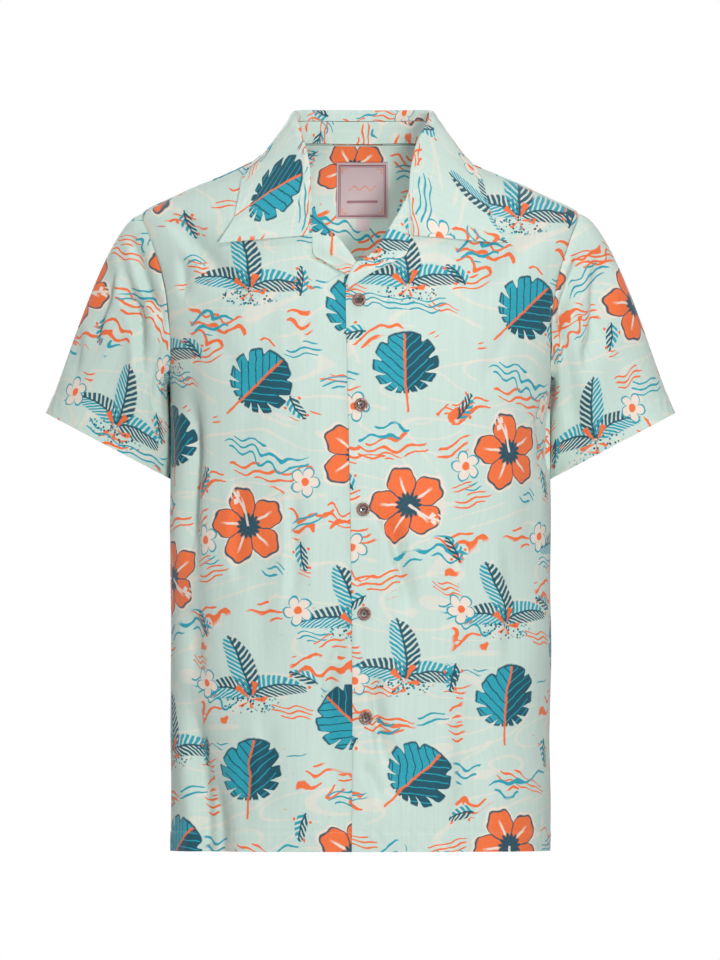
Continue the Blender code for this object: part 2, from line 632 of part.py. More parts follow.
def sleeve_fold_depth(turn, along, sleeve):
    """How far the folds draw a sleeve in at each turn and share of its length."""
    drawn_in = np.zeros(turn.shape)
    for name, top_turn, top_along, low_turn, low_along, half_turn, depth in SLEEVE_FOLDS:
        if name != sleeve:
            continue
        share = (along - top_along) / (low_along - top_along)
        share = np.clip(share, -SLEEVE_FOLD_OVERRUN, 1.0 + SLEEVE_FOLD_OVERRUN)
        middle = top_turn + (low_turn - top_turn) * share
        away = (turn - middle + 180.0) % 360.0 - 180.0
        fade_out = smooth_step(share, *SLEEVE_FOLD_FADE_OUT)
        fade = smooth_step(share, *SLEEVE_FOLD_FADE_IN) * (1.0 - fade_out)
        drawn_in += depth * np.exp(-((away / half_turn) ** 2)) * fade
    return drawn_in


def sleeve_hem_points(turn):
    """The sleeve's hem on the wearer's left: a level oval seen from along the sleeve."""
    outer, inner = np.array(SLEEVE_HEM_OUTER), np.array(SLEEVE_HEM_INNER)
    middle, half = (outer + inner) / 2.0, (outer - inner) / 2.0
    swing = np.cos(np.radians(turn))
    x = middle[0] + half[0] * swing
    z = middle[1] + half[1] * swing
    y = SLEEVE_HEM_MIDDLE_Y - SLEEVE_HEM_HALF_DEPTH * np.sin(np.radians(turn))
    return np.stack([x, y, z], axis=-1)


def sleeve_grid(sleeve):
    """The middle of a sleeve's cloth, from the armhole to the hem, in rings. It is on the left."""
    turn = sleeve_turns()
    angle, z = armhole_at(turn)
    start = body_points(angle, z)
    middle = np.mean(start, axis=0)
    normal = form_normals(angle, z)
    along_edge = np.roll(start, -1, axis=0) - np.roll(start, 1, axis=0)
    into_hole = unit(np.cross(normal, along_edge))
    facing = np.sum(into_hole * (middle - start), axis=-1, keepdims=True)
    into_hole *= np.where(facing < 0, -1.0, 1.0)
    turns = column(SLEEVE_RUNS, SLEEVE_RUN_COLUMNS, "turn")
    out, forward, down, end = (
        through(turns, column(SLEEVE_RUNS, SLEEVE_RUN_COLUMNS, name), turn % 360.0)
        for name in SLEEVE_RUN_COLUMNS[1:]
    )
    run = np.stack([out, forward, -down], axis=-1)
    fold_angle = np.linalg.norm(np.cross(unit(run), into_hole), axis=-1)
    room = SEAM_GAP / 2.0 + WALL * SLEEVE_TURN_ROOM * fold_angle
    first = start + into_hole * room[:, None]
    start = first + unit(run) * SLEEVE_LIP
    finish = sleeve_hem_points(turn)
    across = np.array(SLEEVE_HEM_OUTER) - np.array(SLEEVE_HEM_INNER)
    hem_way = unit(np.array([across[1], 0.0, -across[0]]))
    last = hem_way * end[:, None]
    share = np.linspace(0.0, 1.0, SLEEVE_ROWS + 1)[:, None, None]
    grid = (
        start * (1 + 2 * share) * (1 - share) ** 2
        + run * share * (1 - share) ** 2
        + finish * share * share * (3 - 2 * share)
        + last * share * share * (share - 1)
    )
    grid = np.concatenate([first[None], grid])
    share = np.concatenate([[[[0.0]]], share])
    normals = grid_normals(grid, around=True)
    if np.mean(np.sum(normals * (grid - grid.mean(axis=1, keepdims=True)), axis=-1)) < 0:
        normals = -normals
    rings = np.broadcast_to(turn[None, :], grid.shape[:2])
    depth = sleeve_fold_depth(rings, np.broadcast_to(share[..., 0], grid.shape[:2]), sleeve)
    grid = grid - normals * depth[..., None]
    side = form_tree(SLEEVE_SIDE_ANGLES, (SLEEVE_SIDE_LOW_Z, UNDERARM_Z))
    grid[1:] = keep_clear(grid[1:], SLEEVE_CLEARANCE, side, UNDERARM_Z)
    return grid


# ----------------------------------------------------------------------------------- collar
def form_tree(angles, heights):
    """A search tree of points on the body's form in a range of angles and heights."""
    angle, z = np.meshgrid(
        np.arange(*angles, FORM_TREE_TURN), np.arange(*heights, FORM_TREE_RISE)
    )
    points = body_points(angle, z).reshape(-1, 3)
    normals = form_normals(angle, z).reshape(-1, 3)
    tree = KDTree(len(points))
    for place, point in enumerate(points):
        tree.insert(point, place)
    tree.balance()
    return tree, points, normals


def keep_clear(grid, clearance, form, highest=1.0):
    """Move points below a height that are nearer the form than the clearance out to it."""
    tree, points, normals = form
    moved = grid.reshape(-1, 3).copy()
    least = np.broadcast_to(clearance, grid.shape[:-1]).reshape(-1)
    for place, point in enumerate(moved):
        if point[2] > highest:
            continue
        _, nearest, _ = tree.find(point)
        height = float(np.dot(point - points[nearest], normals[nearest]))
        if height < least[place]:
            moved[place] = point + normals[nearest] * (least[place] - height)
    return moved.reshape(grid.shape)


def collar_column(name, station):
    """A column of the collar's table, read at stations from -1 to 1."""
    stations = column(COLLAR, COLLAR_COLUMNS, "station")
    return through(stations, column(COLLAR, COLLAR_COLUMNS, name), np.abs(station))


def collar_line(name, station):
    """The collar's fold or edge line at stations from -1 at the right end to 1 at the left end."""
    x, y, z = (collar_column(f"{name}_{axis}", station) for axis in "xyz")
    held = smooth_step(np.abs(station), *COLLAR_LEAN_FADE) if name == "fold" else 0.0
    return np.stack([x * np.sign(station) + COLLAR_LEAN * (1.0 - held), y, z], axis=-1)


def half_neck_seam(left):
    """The edge of the yoke and of one front at the neck, from the centre back to the lapel."""
    front = front_grid(left)[-(len(ROLL) + 1 - GORGE_ROW) :, 0][::-1]
    behind = yoke_grid(0.0)[-1]
    behind = behind[: len(behind) // 2 + 1][::-1]
    if not left:
        behind = behind * np.array([-1.0, 1.0, 1.0])
    return np.concatenate([behind, front[1:]])


def neck_seam_line(station):
    """Points just inside the neck seam, which the stand rises from."""
    points = np.zeros((len(station), 3))
    for left in (True, False):
        seam = half_neck_seam(left)
        steps = np.linalg.norm(np.diff(seam, axis=0), axis=-1)
        run = np.concatenate([[0.0], np.cumsum(steps)]) / steps.sum()
        mine = (station >= 0) if left else (station < 0)
        at = np.minimum(np.abs(station[mine]) / NECK_SEAM_END_STATION, 1.0)
        points[mine] = np.stack([np.interp(at, run, seam[:, axis]) for axis in range(3)], axis=-1)
    inwards = -points * np.array([1.0, 1.0, 0.0])
    return points + unit(inwards) * STAND_SET_IN + np.array([0.0, 0.0, STAND_SET_UP])


def collar_frame(station):
    """The fold, the way down inside it, and the foot of the leaf's inner strip."""
    fold = collar_line("fold", station)
    to_seam = unit(neck_seam_line(station) - fold)
    to_lapel = np.stack([-np.sign(station), 0.0 * station, 0.0 * station], axis=-1)
    turned = smooth_step(np.abs(station), STRIP_TURN_STATION, NECK_SEAM_END_STATION)[:, None]
    down = unit(to_seam * (1.0 - turned) + to_lapel * turned)
    return fold, down, fold + down * collar_column("strip", station)[:, None]


def collar_stations():
    """The collar's stations, evenly spaced from the right end to the left end."""
    return np.linspace(-1.0, 1.0, 2 * COLLAR_STATIONS + 1)


def stand_grid():
    """The middle of the collar stand's cloth, from the neck seam up to the leaf."""
    station = collar_stations()
    station = station[np.abs(station) < (STAND_END + 0.5) / COLLAR_STATIONS]
    low = neck_seam_line(station)
    _, down, foot = collar_frame(station)
    high = foot + down * SEAM_GAP * 2.0
    share = np.linspace(0.0, 1.0, 3)[:, None, None]
    return low * (1 - share) + high * share


def leaf_grid(form):
    """The middle of the leaf's cloth: up from the stand, over the fold and down to its edge."""
    station = collar_stations()
    fold, down, foot = collar_frame(station)
    edge = collar_line("edge", station)
    bulge = collar_column("bulge", station)[:, None]
    outwards = unit((edge - fold) * np.array([1.0, 1.0, 0.0]))
    rows = [edge]
    for share in np.linspace(0.0, 1.0, LEAF_ROWS + 1)[1:-1]:
        chord = edge + (fold + outwards * bulge - edge) * share
        swell = LEAF_SWELL * math.sin(math.pi * share) ** LEAF_SWELL_POWER
        rows.append(chord - down * bulge * swell)
    for out, low in LEAF_FOLD_PROFILE:
        rows.append(fold + outwards * bulge * out + down * bulge * low)
    rows.append(foot)
    grid = np.stack(rows)
    point_share = smooth_step(np.abs(station), POINT_START_STATION, 1.0)[None, :]
    near_edge = np.linspace(1.0, 0.0, LEAF_ROWS + 1)[:, None] ** 2
    clearance = LEAF_CLEARANCE + POINT_LIFT * point_share * near_edge
    grid[: LEAF_ROWS + 1] = keep_clear(grid[: LEAF_ROWS + 1], clearance, form)
    ends = np.abs(station) > STAND_END / COLLAR_STATIONS
    grid[:, ends] = keep_clear(grid[:, ends], LEAF_CLEARANCE, form)
    return grid


def lapel_grid(table, left):
    """The middle of a lapel's cloth: it turns over at the roll and lies on its front."""
    roll_x, roll_z, edge_x, edge_z = np.array(table).T
    share, reach, layers = np.array(LAPEL_PROFILE).T
    way = unit(np.stack([roll_x - edge_x, roll_z - edge_z], axis=-1))
    x = roll_x[:, None] + (edge_x - roll_x)[:, None] * share + way[:, :1] * reach
    z = roll_z[:, None] + (edge_z - roll_z)[:, None] * share + way[:, 1:] * reach
    lift = front_lift(x, z, left) + layers * LAPEL_LAYER
    return body_points(front_angle(x, z), z, lift)


# ------------------------------------------------------------------------- label and buttons
def inside_patch(span, heights, lift, cells):
    """The middle of a small patch of cloth on the inside of the back."""
    x, z = np.meshgrid(np.linspace(*span, cells + 1), np.linspace(*heights, cells + 1))
    return body_points(back_angle(x, z), z, lift)


def make_button(number, material):
    """One round button with a raised rim, lying on the left front."""
    z = BUTTON_TOP_Z - BUTTON_PITCH * number
    heights = column(FRONT_EDGE, FRONT_EDGE_COLUMNS, "z")
    x = float(through(heights, column(FRONT_EDGE, FRONT_EDGE_COLUMNS, "button_x"), z))
    angle = front_angle(np.array(x), np.array(z))
    lift = front_lift(np.array(x), np.array(z), True) + WALL / 2.0 + SEAM_GAP * 2.0
    centre = body_points(angle, z, lift)
    normal = form_normals(angle, np.array(z))
    side = unit(np.cross(np.array([0.0, 0.0, 1.0]), normal))
    up = np.cross(normal, side)
    profile = [(r * BUTTON_RADIUS, h * BUTTON_THICKNESS) for r, h in BUTTON_PROFILE]
    vertices = [centre + normal * profile[0][1]]
    for radius, height in profile[1:-1]:
        for step in range(BUTTON_SIDES):
            turn = math.tau * step / BUTTON_SIDES
            vertices.append(
                centre + normal * height + (side * math.cos(turn) + up * math.sin(turn)) * radius
            )
    vertices.append(centre + normal * profile[-1][1])
    faces = []
    top = 1 + (len(profile) - 3) * BUTTON_SIDES
    for step in range(BUTTON_SIDES):
        after = (step + 1) % BUTTON_SIDES
        faces.append((0, 1 + after, 1 + step))
        for low in range(1, top, BUTTON_SIDES):
            high = low + BUTTON_SIDES
            faces.append((low + step, low + after, high + after, high + step))
        faces.append((top + step, top + after, len(vertices) - 1))
    mesh = bpy.data.meshes.new(f"button_{number + 1}")
    mesh.from_pydata([tuple(v) for v in vertices], [], faces)
    mesh.update()
    return place_mesh(f"button_{number + 1}", mesh, material)


def clear_scene():
    """Remove whatever the scene starts with."""
    for obj in list(bpy.data.objects):
        bpy.data.objects.remove(obj, do_unlink=True)


def main():
    """Model every piece of the shirt."""
    clear_scene()
    cloth = make_material("printed_cloth", MINT, 0.85)
    label_cloth = make_material("woven_label", MAUVE, 0.70)
    shell = make_material("coconut_shell", SHELL_BROWN, 0.45)

    make_wall("front_left", pull_in(front_grid(True)), cloth)
    make_wall("front_right", pull_in(front_grid(False)), cloth)
    make_wall("back", pull_in(back_grid()), cloth)
    yoke = pull_in(yoke_grid(0.0), sides=("low", "high"))
    yoke = pull_in(yoke, SHOULDER_SEAM_GAP, sides=("first", "last"))
    make_wall("yoke", yoke, cloth)
    make_wall("yoke_inner", inner_yoke_grid(yoke), cloth)

    make_wall("sleeve_left", sleeve_grid("left"), cloth, around=True)
    make_wall("sleeve_right", mirrored(sleeve_grid("right")), cloth, around=True)

    form = form_tree((0.0, 360.0), COLLAR_FORM_HEIGHTS)
    make_wall("collar_stand", stand_grid(), cloth)
    make_wall("collar_leaf", leaf_grid(form), cloth)
    make_wall("lapel_left", lapel_grid(LEFT_LAPEL, True), cloth)
    make_wall("lapel_right", lapel_grid(RIGHT_LAPEL, False), cloth)

    inside = -YOKE_STEP - LAYER_STEP - WALL / 2.0
    label = inside_patch(LABEL_SPAN, LABEL_HEIGHTS, inside, LABEL_CELLS)
    make_wall("label", label, label_cloth, LABEL_WALL)
    size_tab = inside_patch(SIZE_TAB_SPAN, SIZE_TAB_HEIGHTS, inside, SIZE_TAB_CELLS)
    make_wall("size_tab", size_tab, label_cloth, LABEL_WALL)
    for number in range(BUTTON_COUNT):
        make_button(number, shell)


main()
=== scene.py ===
"""The looks of a short-sleeved shirt with an open camp collar, filled out with no wearer.

Every cut piece is a thin shell of cloth on the form of its solid, with the main creases placed
one by one. The print, weave and slubs are node groups that read each piece's own UV map, which
holds the cloth's flat place in metres. All sizes are in metres.
"""

import logging
import math
from collections.abc import Sequence
from dataclasses import dataclass, field
from enum import Enum

import bmesh
import bpy
import numpy as np
from mathutils import Matrix, Vector
from mathutils.kdtree import KDTree


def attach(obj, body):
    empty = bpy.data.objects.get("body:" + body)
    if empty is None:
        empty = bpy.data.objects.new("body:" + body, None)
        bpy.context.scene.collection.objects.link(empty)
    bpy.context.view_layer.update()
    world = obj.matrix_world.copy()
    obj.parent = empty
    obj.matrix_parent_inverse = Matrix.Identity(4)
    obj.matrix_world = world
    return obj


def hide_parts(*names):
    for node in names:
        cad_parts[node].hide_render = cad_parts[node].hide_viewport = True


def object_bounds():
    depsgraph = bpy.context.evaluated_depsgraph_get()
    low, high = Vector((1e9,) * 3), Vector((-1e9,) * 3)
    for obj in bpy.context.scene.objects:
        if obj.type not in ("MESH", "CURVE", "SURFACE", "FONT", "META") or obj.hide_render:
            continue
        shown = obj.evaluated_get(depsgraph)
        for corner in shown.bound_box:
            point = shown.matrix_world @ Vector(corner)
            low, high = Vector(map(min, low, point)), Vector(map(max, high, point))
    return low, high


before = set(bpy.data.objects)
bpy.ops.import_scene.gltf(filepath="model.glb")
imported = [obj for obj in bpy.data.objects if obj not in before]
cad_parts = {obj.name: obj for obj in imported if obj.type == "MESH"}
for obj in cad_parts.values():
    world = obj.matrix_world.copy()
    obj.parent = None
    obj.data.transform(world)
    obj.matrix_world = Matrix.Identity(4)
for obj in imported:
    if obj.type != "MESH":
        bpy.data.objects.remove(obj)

LOG = logging.getLogger("shirt")
Array, Tree, Socket = np.ndarray, bpy.types.NodeTree, bpy.types.NodeSocket
Material, Object = bpy.types.Material, bpy.types.Object
Pair, Point = tuple[float, float], tuple[float, float, float]
Colour = tuple[float, float, float, float]
Layers = list[tuple[str, "Field"]]  # an ink's name and the mask where it lies, for each layer

WALL = 0.0012
SEAM_GAP = 0.0003
LAYER_STEP = 0.0017  # from one layer of cloth to another that lies on it
OVERLAP_STEP = 0.0026  # from the right front to the left front over it
YOKE_STEP = 0.0030  # from the outer yoke to the inner one
HEM_Z, UNDERARM_Z, SHOULDER_TIP_Z = -0.779, -0.270, -0.077
YOKE_SEAM_Z, FRONT_NECK_DROP = -0.123, 0.0025
SHOULDER_SEAM_ANGLE, SIDE_SEAM_ANGLE, YOKE_NECK_CORNER = 81.0, 103.0, 104.0
SIDE_ROWS, ARM_ROWS = 14, 12
LEFT, RIGHT = 1.0, -1.0
CREASE_FADE = 0.32  # share of a crease over which it fades at each end
CREASE_RIDGE, CREASE_RIDGE_WIDTH = 0.30, 2.2  # height and width of the ridges beside it
CREASE_DEPTH = 2.5  # times the depth that the tables give
CREASE_SLOW_SIDE = 2.2  # times its half width, where the cloth comes back slowly
SEAM_DIP_WIDTH = 0.0022
PUCKER_HEIGHT, PUCKER_REACH = 0.00040, 0.006
HEM_STEP, HEM_GROOVE, HEM_ROPING = 0.00035, 0.00045, 0.00028  # heights at a turned hem
HEM_GROOVE_WIDTH, HEM_EDGE = 0.0016, 0.002
STITCH_INSET = 0.0055  # from an edge to the row of stitches beside it
THREAD_STAND_OFF = 0.00006
BODY_CENTRE = (0.0, 0.02, -0.3)
FLAT_MAP = "cloth"  # name of the UV map that holds the cloth's flat place
WHITE = (1.0, 1.0, 1.0, 1.0)
MIX_SHARE, MIX_UNDER, MIX_OVER, MIX_COLOUR = 0, 6, 7, 2  # sockets of a Mix node for colours

# The body's level sections: z, half width, y of its widest place, front y, back y, fullness.
SECTIONS = np.array((
    (0.01, 0.053, 0.006, -0.046, 0.062, 1.8), (0.004, 0.067, 0.005, -0.054, 0.067, 1.75),
    (0.0, 0.0765, 0.004, -0.058, 0.07, 1.7), (-0.017, 0.113, 0.002, -0.066, 0.082, 1.65),
    (-0.032, 0.1455, 0.0, -0.072, 0.093, 1.65), (-0.058, 0.2035, -0.002, -0.081, 0.107, 1.7),
    (-0.0715, 0.233, -0.003, -0.087, 0.112, 1.75), (-0.077, 0.2405, -0.003, -0.089, 0.114, 1.78),
    (-0.088, 0.2445, -0.004, -0.093, 0.117, 1.82), (-0.109, 0.2435, -0.006, -0.101, 0.122, 1.9),
    (-0.144, 0.236, -0.009, -0.112, 0.127, 2.0), (-0.184, 0.2255, -0.013, -0.124, 0.131, 2.1),
    (-0.219, 0.2165, -0.016, -0.132, 0.132, 2.17), (-0.25, 0.2105, -0.018, -0.137, 0.132, 2.2),
    (-0.28, 0.2085, -0.018, -0.14, 0.131, 2.22), (-0.38, 0.2085, -0.018, -0.143, 0.127, 2.25),
    (-0.52, 0.2085, -0.018, -0.141, 0.124, 2.25), (-0.66, 0.2085, -0.018, -0.137, 0.124, 2.25),
    (-0.779, 0.2085, -0.018, -0.135, 0.126, 2.25),
))
# Folds of the body: x and z of the top and of the low end, half width, depth. The first twelve
# of the front and the first six of the back are the solids' own, and the others are finer. A
# depth below 0 is a ridge.
FRONT_FOLDS = (
    (-0.192, -0.1, -0.135, -0.165, 0.016, 0.005), (-0.188, -0.24, -0.188, -0.525, 0.014, 0.0075),
    (-0.182, -0.5, -0.18, -0.64, 0.016, 0.0045), (-0.168, -0.65, -0.158, -0.8, 0.019, 0.011),
    (-0.128, -0.665, -0.125, -0.76, 0.013, 0.004), (-0.112, -0.42, -0.108, -0.56, 0.016, 0.004),
    (-0.038, -0.58, -0.034, -0.7, 0.014, 0.0035), (0.192, -0.1, 0.14, -0.165, 0.016, 0.004),
    (0.188, -0.3, 0.19, -0.5, 0.014, 0.004), (0.125, -0.6, 0.13, -0.8, 0.018, 0.005),
    (0.034, -0.4, 0.048, -0.52, 0.013, 0.004), (0.022, -0.625, 0.032, -0.7, 0.013, 0.0035),
    (-0.028, -0.2, -0.062, -0.3, 0.01, 0.0016), (-0.098, -0.175, -0.126, -0.33, 0.012, 0.002),
    (0.098, -0.18, 0.12, -0.33, 0.012, 0.0018), (0.07, -0.3, 0.078, -0.42, 0.01, 0.0014),
    (0.168, -0.2, 0.132, -0.268, 0.008, 0.002), (-0.17, -0.19, -0.13, -0.262, 0.008, 0.0022),
)
# Creases of the front: the x and z of a few places on each, then its half width and its depth.
FRONT_CREASES = (
    (((-0.1912, -0.2662), (-0.1884, -0.3377), (-0.1939, -0.4147),
      (-0.1939, -0.4895)), 0.0058, 0.004),
    (((-0.1924, -0.5071), (-0.1902, -0.5467), (-0.1869, -0.6017)), 0.0062, 0.0022),
    (((-0.1885, -0.59), (-0.186, -0.6622), (-0.1816, -0.7117), (-0.1782, -0.748),
      (-0.175, -0.86)), 0.0066, 0.0054),
    (((-0.164, -0.68), (-0.159, -0.7447), (-0.152, -0.86)), 0.008, 0.0032),
    (((-0.0743, -0.3707), (-0.0754, -0.473), (-0.0853, -0.5181)), 0.005, 0.0018),
    (((-0.1348, -0.3542), (-0.137, -0.4367), (-0.1326, -0.5027)), 0.006, 0.0014),
    (((-0.0094, -0.5335), (-0.0281, -0.5632), (-0.0369, -0.5962),
      (-0.038, -0.6369)), 0.005, 0.0022),
    (((0.0039, -0.3982), (0.0215, -0.4125), (0.0347, -0.4345), (0.0413, -0.462),
      (0.0578, -0.5247)), 0.005, 0.003),
    (((0.0105, -0.5687), (0.016, -0.6314), (0.0215, -0.6677), (0.0292, -0.693)), 0.0048, 0.0032),
    (((0.0016, -0.6809), (0.0138, -0.7051), (0.0226, -0.7249)), 0.0046, 0.0018),
    (((0.0215, -0.22), (0.0391, -0.2552), (0.0545, -0.2882)), 0.006, 0.0013),
    (((-0.0633, -0.1188), (-0.038, -0.1298), (-0.0105, -0.1419)), 0.0042, 0.0018),
    (((-0.2206, -0.0781), (-0.193, -0.0979), (-0.1711, -0.1243),
      (-0.1436, -0.1452)), 0.008, 0.0024),
    (((-0.1986, -0.1199), (-0.1953, -0.1452), (-0.1942, -0.1771)), 0.005, 0.0018),
    (((0.1996, -0.2717), (0.2018, -0.3267), (0.204, -0.3773)), 0.007, 0.0024),
    (((-0.1084, -0.6127), (-0.104, -0.6897), (-0.1073, -0.7557)), 0.008, 0.0014),
    (((0.104, -0.6017), (0.1117, -0.6787), (0.1073, -0.7667)), 0.009, 0.0014),
    (((0.159, -0.4147), (0.1667, -0.5027), (0.1623, -0.5907)), 0.009, 0.0014),
)
BACK_FOLDS = (
    (-0.172, -0.18, -0.12, -0.33, 0.02, 0.006), (0.172, -0.18, 0.124, -0.35, 0.02, 0.0055),
    (-0.14, -0.47, -0.15, -0.8, 0.022, 0.01), (-0.04, -0.56, -0.048, -0.8, 0.02, 0.006),
    (0.062, -0.52, 0.07, -0.8, 0.022, 0.0075), (0.16, -0.43, 0.164, -0.7, 0.018, 0.006),
    (-0.128, -0.135, -0.088, -0.3, 0.009, 0.0022), (0.126, -0.135, 0.092, -0.32, 0.009, 0.002),
    (-0.02, -0.135, -0.028, -0.33, 0.01, 0.0016), (0.03, -0.135, 0.04, -0.29, 0.01, 0.0014),
    (-0.112, -0.44, -0.122, -0.78, 0.009, -0.0026), (-0.008, -0.5, -0.016, -0.78, 0.009, -0.002),
    (0.098, -0.48, 0.106, -0.78, 0.01, -0.0026), (0.02, -0.42, 0.03, -0.64, 0.009, 0.0018),
    (-0.08, -0.42, -0.086, -0.64, 0.009, 0.002), (-0.186, -0.3, -0.176, -0.62, 0.009, 0.002),
    (0.184, -0.3, 0.18, -0.64, 0.009, 0.0022), (0.126, -0.38, 0.132, -0.56, 0.009, 0.0018),
    (-0.15, -0.23, -0.104, -0.35, 0.008, -0.0018), (0.15, -0.235, 0.108, -0.365, 0.008, -0.0018),
)
# The front edge and its buttons: z, x of the left front's edge, x of the buttons.
FRONT_EDGE = np.array((
    (-0.779, -0.0094, 0.006), (-0.64, -0.0086, 0.0059), (-0.52, -0.0094, 0.0042),
    (-0.4, -0.011, 0.003), (-0.28, -0.0137, 0.0006), (-0.164, -0.016, -0.0018),
))
# The roll line and neck seam above it: z, x on the left front, x on the right front.
ROLL = np.array((
    (-0.164, -0.016, 0.013), (-0.15, -0.0115, 0.008), (-0.136, -0.004, -0.004),
    (-0.121, 0.017, -0.0145), (-0.107, 0.027, -0.027), (-0.093, 0.0355, -0.0395),
    (-0.079, 0.0435, -0.0534), (-0.06, 0.0505, -0.056), (-0.04, 0.057, -0.059),
    (-0.022, 0.064, -0.064),
))
GORGE_STEPS = 4  # steps of ROLL, counted from the shoulder seam, that the collar is sewn to
# A sleeve's first run from the armhole: turn, out, forward, down, and the length of its last.
SLEEVE_RUNS = np.array((
    (0.0, 0.122, 0.0, 0.042, 0.19), (45.0, 0.086, -0.012, 0.052, 0.17),
    (90.0, 0.046, -0.014, 0.056, 0.13), (135.0, 0.038, -0.004, 0.016, 0.09),
    (180.0, 0.026, 0.0, 0.002, 0.07), (225.0, 0.038, 0.006, 0.016, 0.09),
    (270.0, 0.046, 0.016, 0.056, 0.13), (315.0, 0.086, 0.012, 0.052, 0.17),
    (360.0, 0.122, 0.0, 0.042, 0.19),
))
# Folds of the sleeves: turn and share of the length at the top and at the low end, half width
# in degrees, depth.
RIGHT_SLEEVE_FOLDS = (
    (62.0, 0.02, 78.0, 0.95, 15.0, 0.006), (100.0, 0.02, 122.0, 0.6, 13.0, 0.0045),
    (300.0, 0.05, 285.0, 0.8, 18.0, 0.006), (235.0, 0.02, 245.0, 0.7, 16.0, 0.005),
    (322.0, 0.0, 316.0, 0.5, 8.0, 0.0018), (272.0, 0.1, 262.0, 0.7, 8.0, -0.002),
)
LEFT_SLEEVE_FOLDS = (
    (92.0, 0.02, 118.0, 0.85, 14.0, 0.006), (52.0, 0.1, 66.0, 0.98, 18.0, 0.0045),
    (296.0, 0.05, 280.0, 0.8, 18.0, 0.0055), (232.0, 0.02, 244.0, 0.7, 16.0, 0.005),
    (320.0, 0.0, 312.0, 0.5, 8.0, 0.0016), (268.0, 0.1, 258.0, 0.7, 8.0, -0.0018),
)
# Creases of the sleeves' fronts, as FRONT_CREASES gives them, with x out from the body's middle.
RIGHT_SLEEVE_CREASES = (
    (((0.2656, -0.1001), (0.2635, -0.1199), (0.2613, -0.154), (0.2481, -0.198),
      (0.2426, -0.242), (0.2327, -0.3135)), 0.0048, 0.0042),
    (((0.2547, -0.0913), (0.2459, -0.132), (0.2371, -0.1617), (0.2239, -0.1815),
      (0.2129, -0.2057)), 0.0048, 0.0032),
    (((0.27, -0.12), (0.28, -0.1727), (0.2888, -0.1947), (0.2964, -0.2343)), -0.006, 0.0034),
    (((0.309, -0.2), (0.314, -0.2354), (0.3175, -0.2607)), -0.006, 0.002),
    (((0.2305, -0.2057), (0.2283, -0.2607), (0.2228, -0.3157)), 0.006, 0.002),
)
LEFT_SLEEVE_CREASES = (
    (((0.2426, -0.1133), (0.2283, -0.1584), (0.2195, -0.187), (0.214, -0.2167),
      (0.2096, -0.2541)), 0.0048, 0.004),
    (((0.2624, -0.1133), (0.2601, -0.1727), (0.2558, -0.2134), (0.2492, -0.2299),
      (0.2481, -0.2695)), 0.006, 0.0032),
    (((0.2261, -0.2277), (0.2261, -0.2717), (0.2305, -0.3157)), 0.006, 0.0014),
)
# The collar from its centre back to its end: station, fold x y z, edge x y z, strip, bulge.
COLLAR = np.array((
    (0.0, 0.0, 0.07, 0.0365, 0.0, 0.106, -0.027, 0.011, 0.005),
    (0.12, 0.03, 0.0655, 0.0365, 0.042, 0.101, -0.0275, 0.011, 0.005),
    (0.25, 0.058, 0.048, 0.0365, 0.08, 0.078, -0.027, 0.011, 0.005),
    (0.37, 0.0735, 0.022, 0.0352, 0.104, 0.039, -0.02, 0.011, 0.0048),
    (0.48, 0.073, -0.004, 0.029, 0.114, 0.002, -0.0185, 0.0105, 0.0045),
    (0.6, 0.0655, -0.03, 0.011, 0.129, -0.033, -0.042, 0.0095, 0.004),
    (0.72, 0.0585, -0.053, -0.012, 0.136, -0.06, -0.068, 0.008, 0.0036),
    (0.84, 0.055, -0.07, -0.04, 0.144, -0.079, -0.086, 0.006, 0.003),
    (0.93, 0.056, -0.083, -0.075, 0.154, -0.087, -0.102, 0.0015, 0.001),
    (1.0, 0.0575, -0.093, -0.104, 0.159, -0.09, -0.11, 0.0012, 0.0008),
))
# The lapels: x and z on the roll line, x and z on the free edge.
RIGHT_LAPEL = np.array((
    (-0.052, -0.072, -0.0528, -0.073), (-0.05, -0.082, -0.0525, -0.084),
    (-0.044, -0.088, -0.0528, -0.094), (-0.0347, -0.098, -0.0528, -0.108),
    (-0.025, -0.107, -0.052, -0.1215), (-0.018, -0.1166, -0.04, -0.13),
    (-0.011, -0.126, -0.023, -0.141), (-0.0045, -0.1345, -0.0055, -0.1515),
))
LEFT_LAPEL = np.array((
    (0.05, -0.066, 0.0527, -0.067), (0.0465, -0.074, 0.0527, -0.076),
    (0.042, -0.082, 0.052, -0.085), (0.036, -0.092, 0.0528, -0.098),
    (0.027, -0.1065, 0.0526, -0.115), (0.017, -0.121, 0.05, -0.1235), (0.006, -0.129, 0.03, -0.136),
    (-0.004, -0.136, 0.011, -0.146), (-0.011, -0.15, -0.003, -0.156),
    (-0.0145, -0.16, -0.012, -0.164),
))


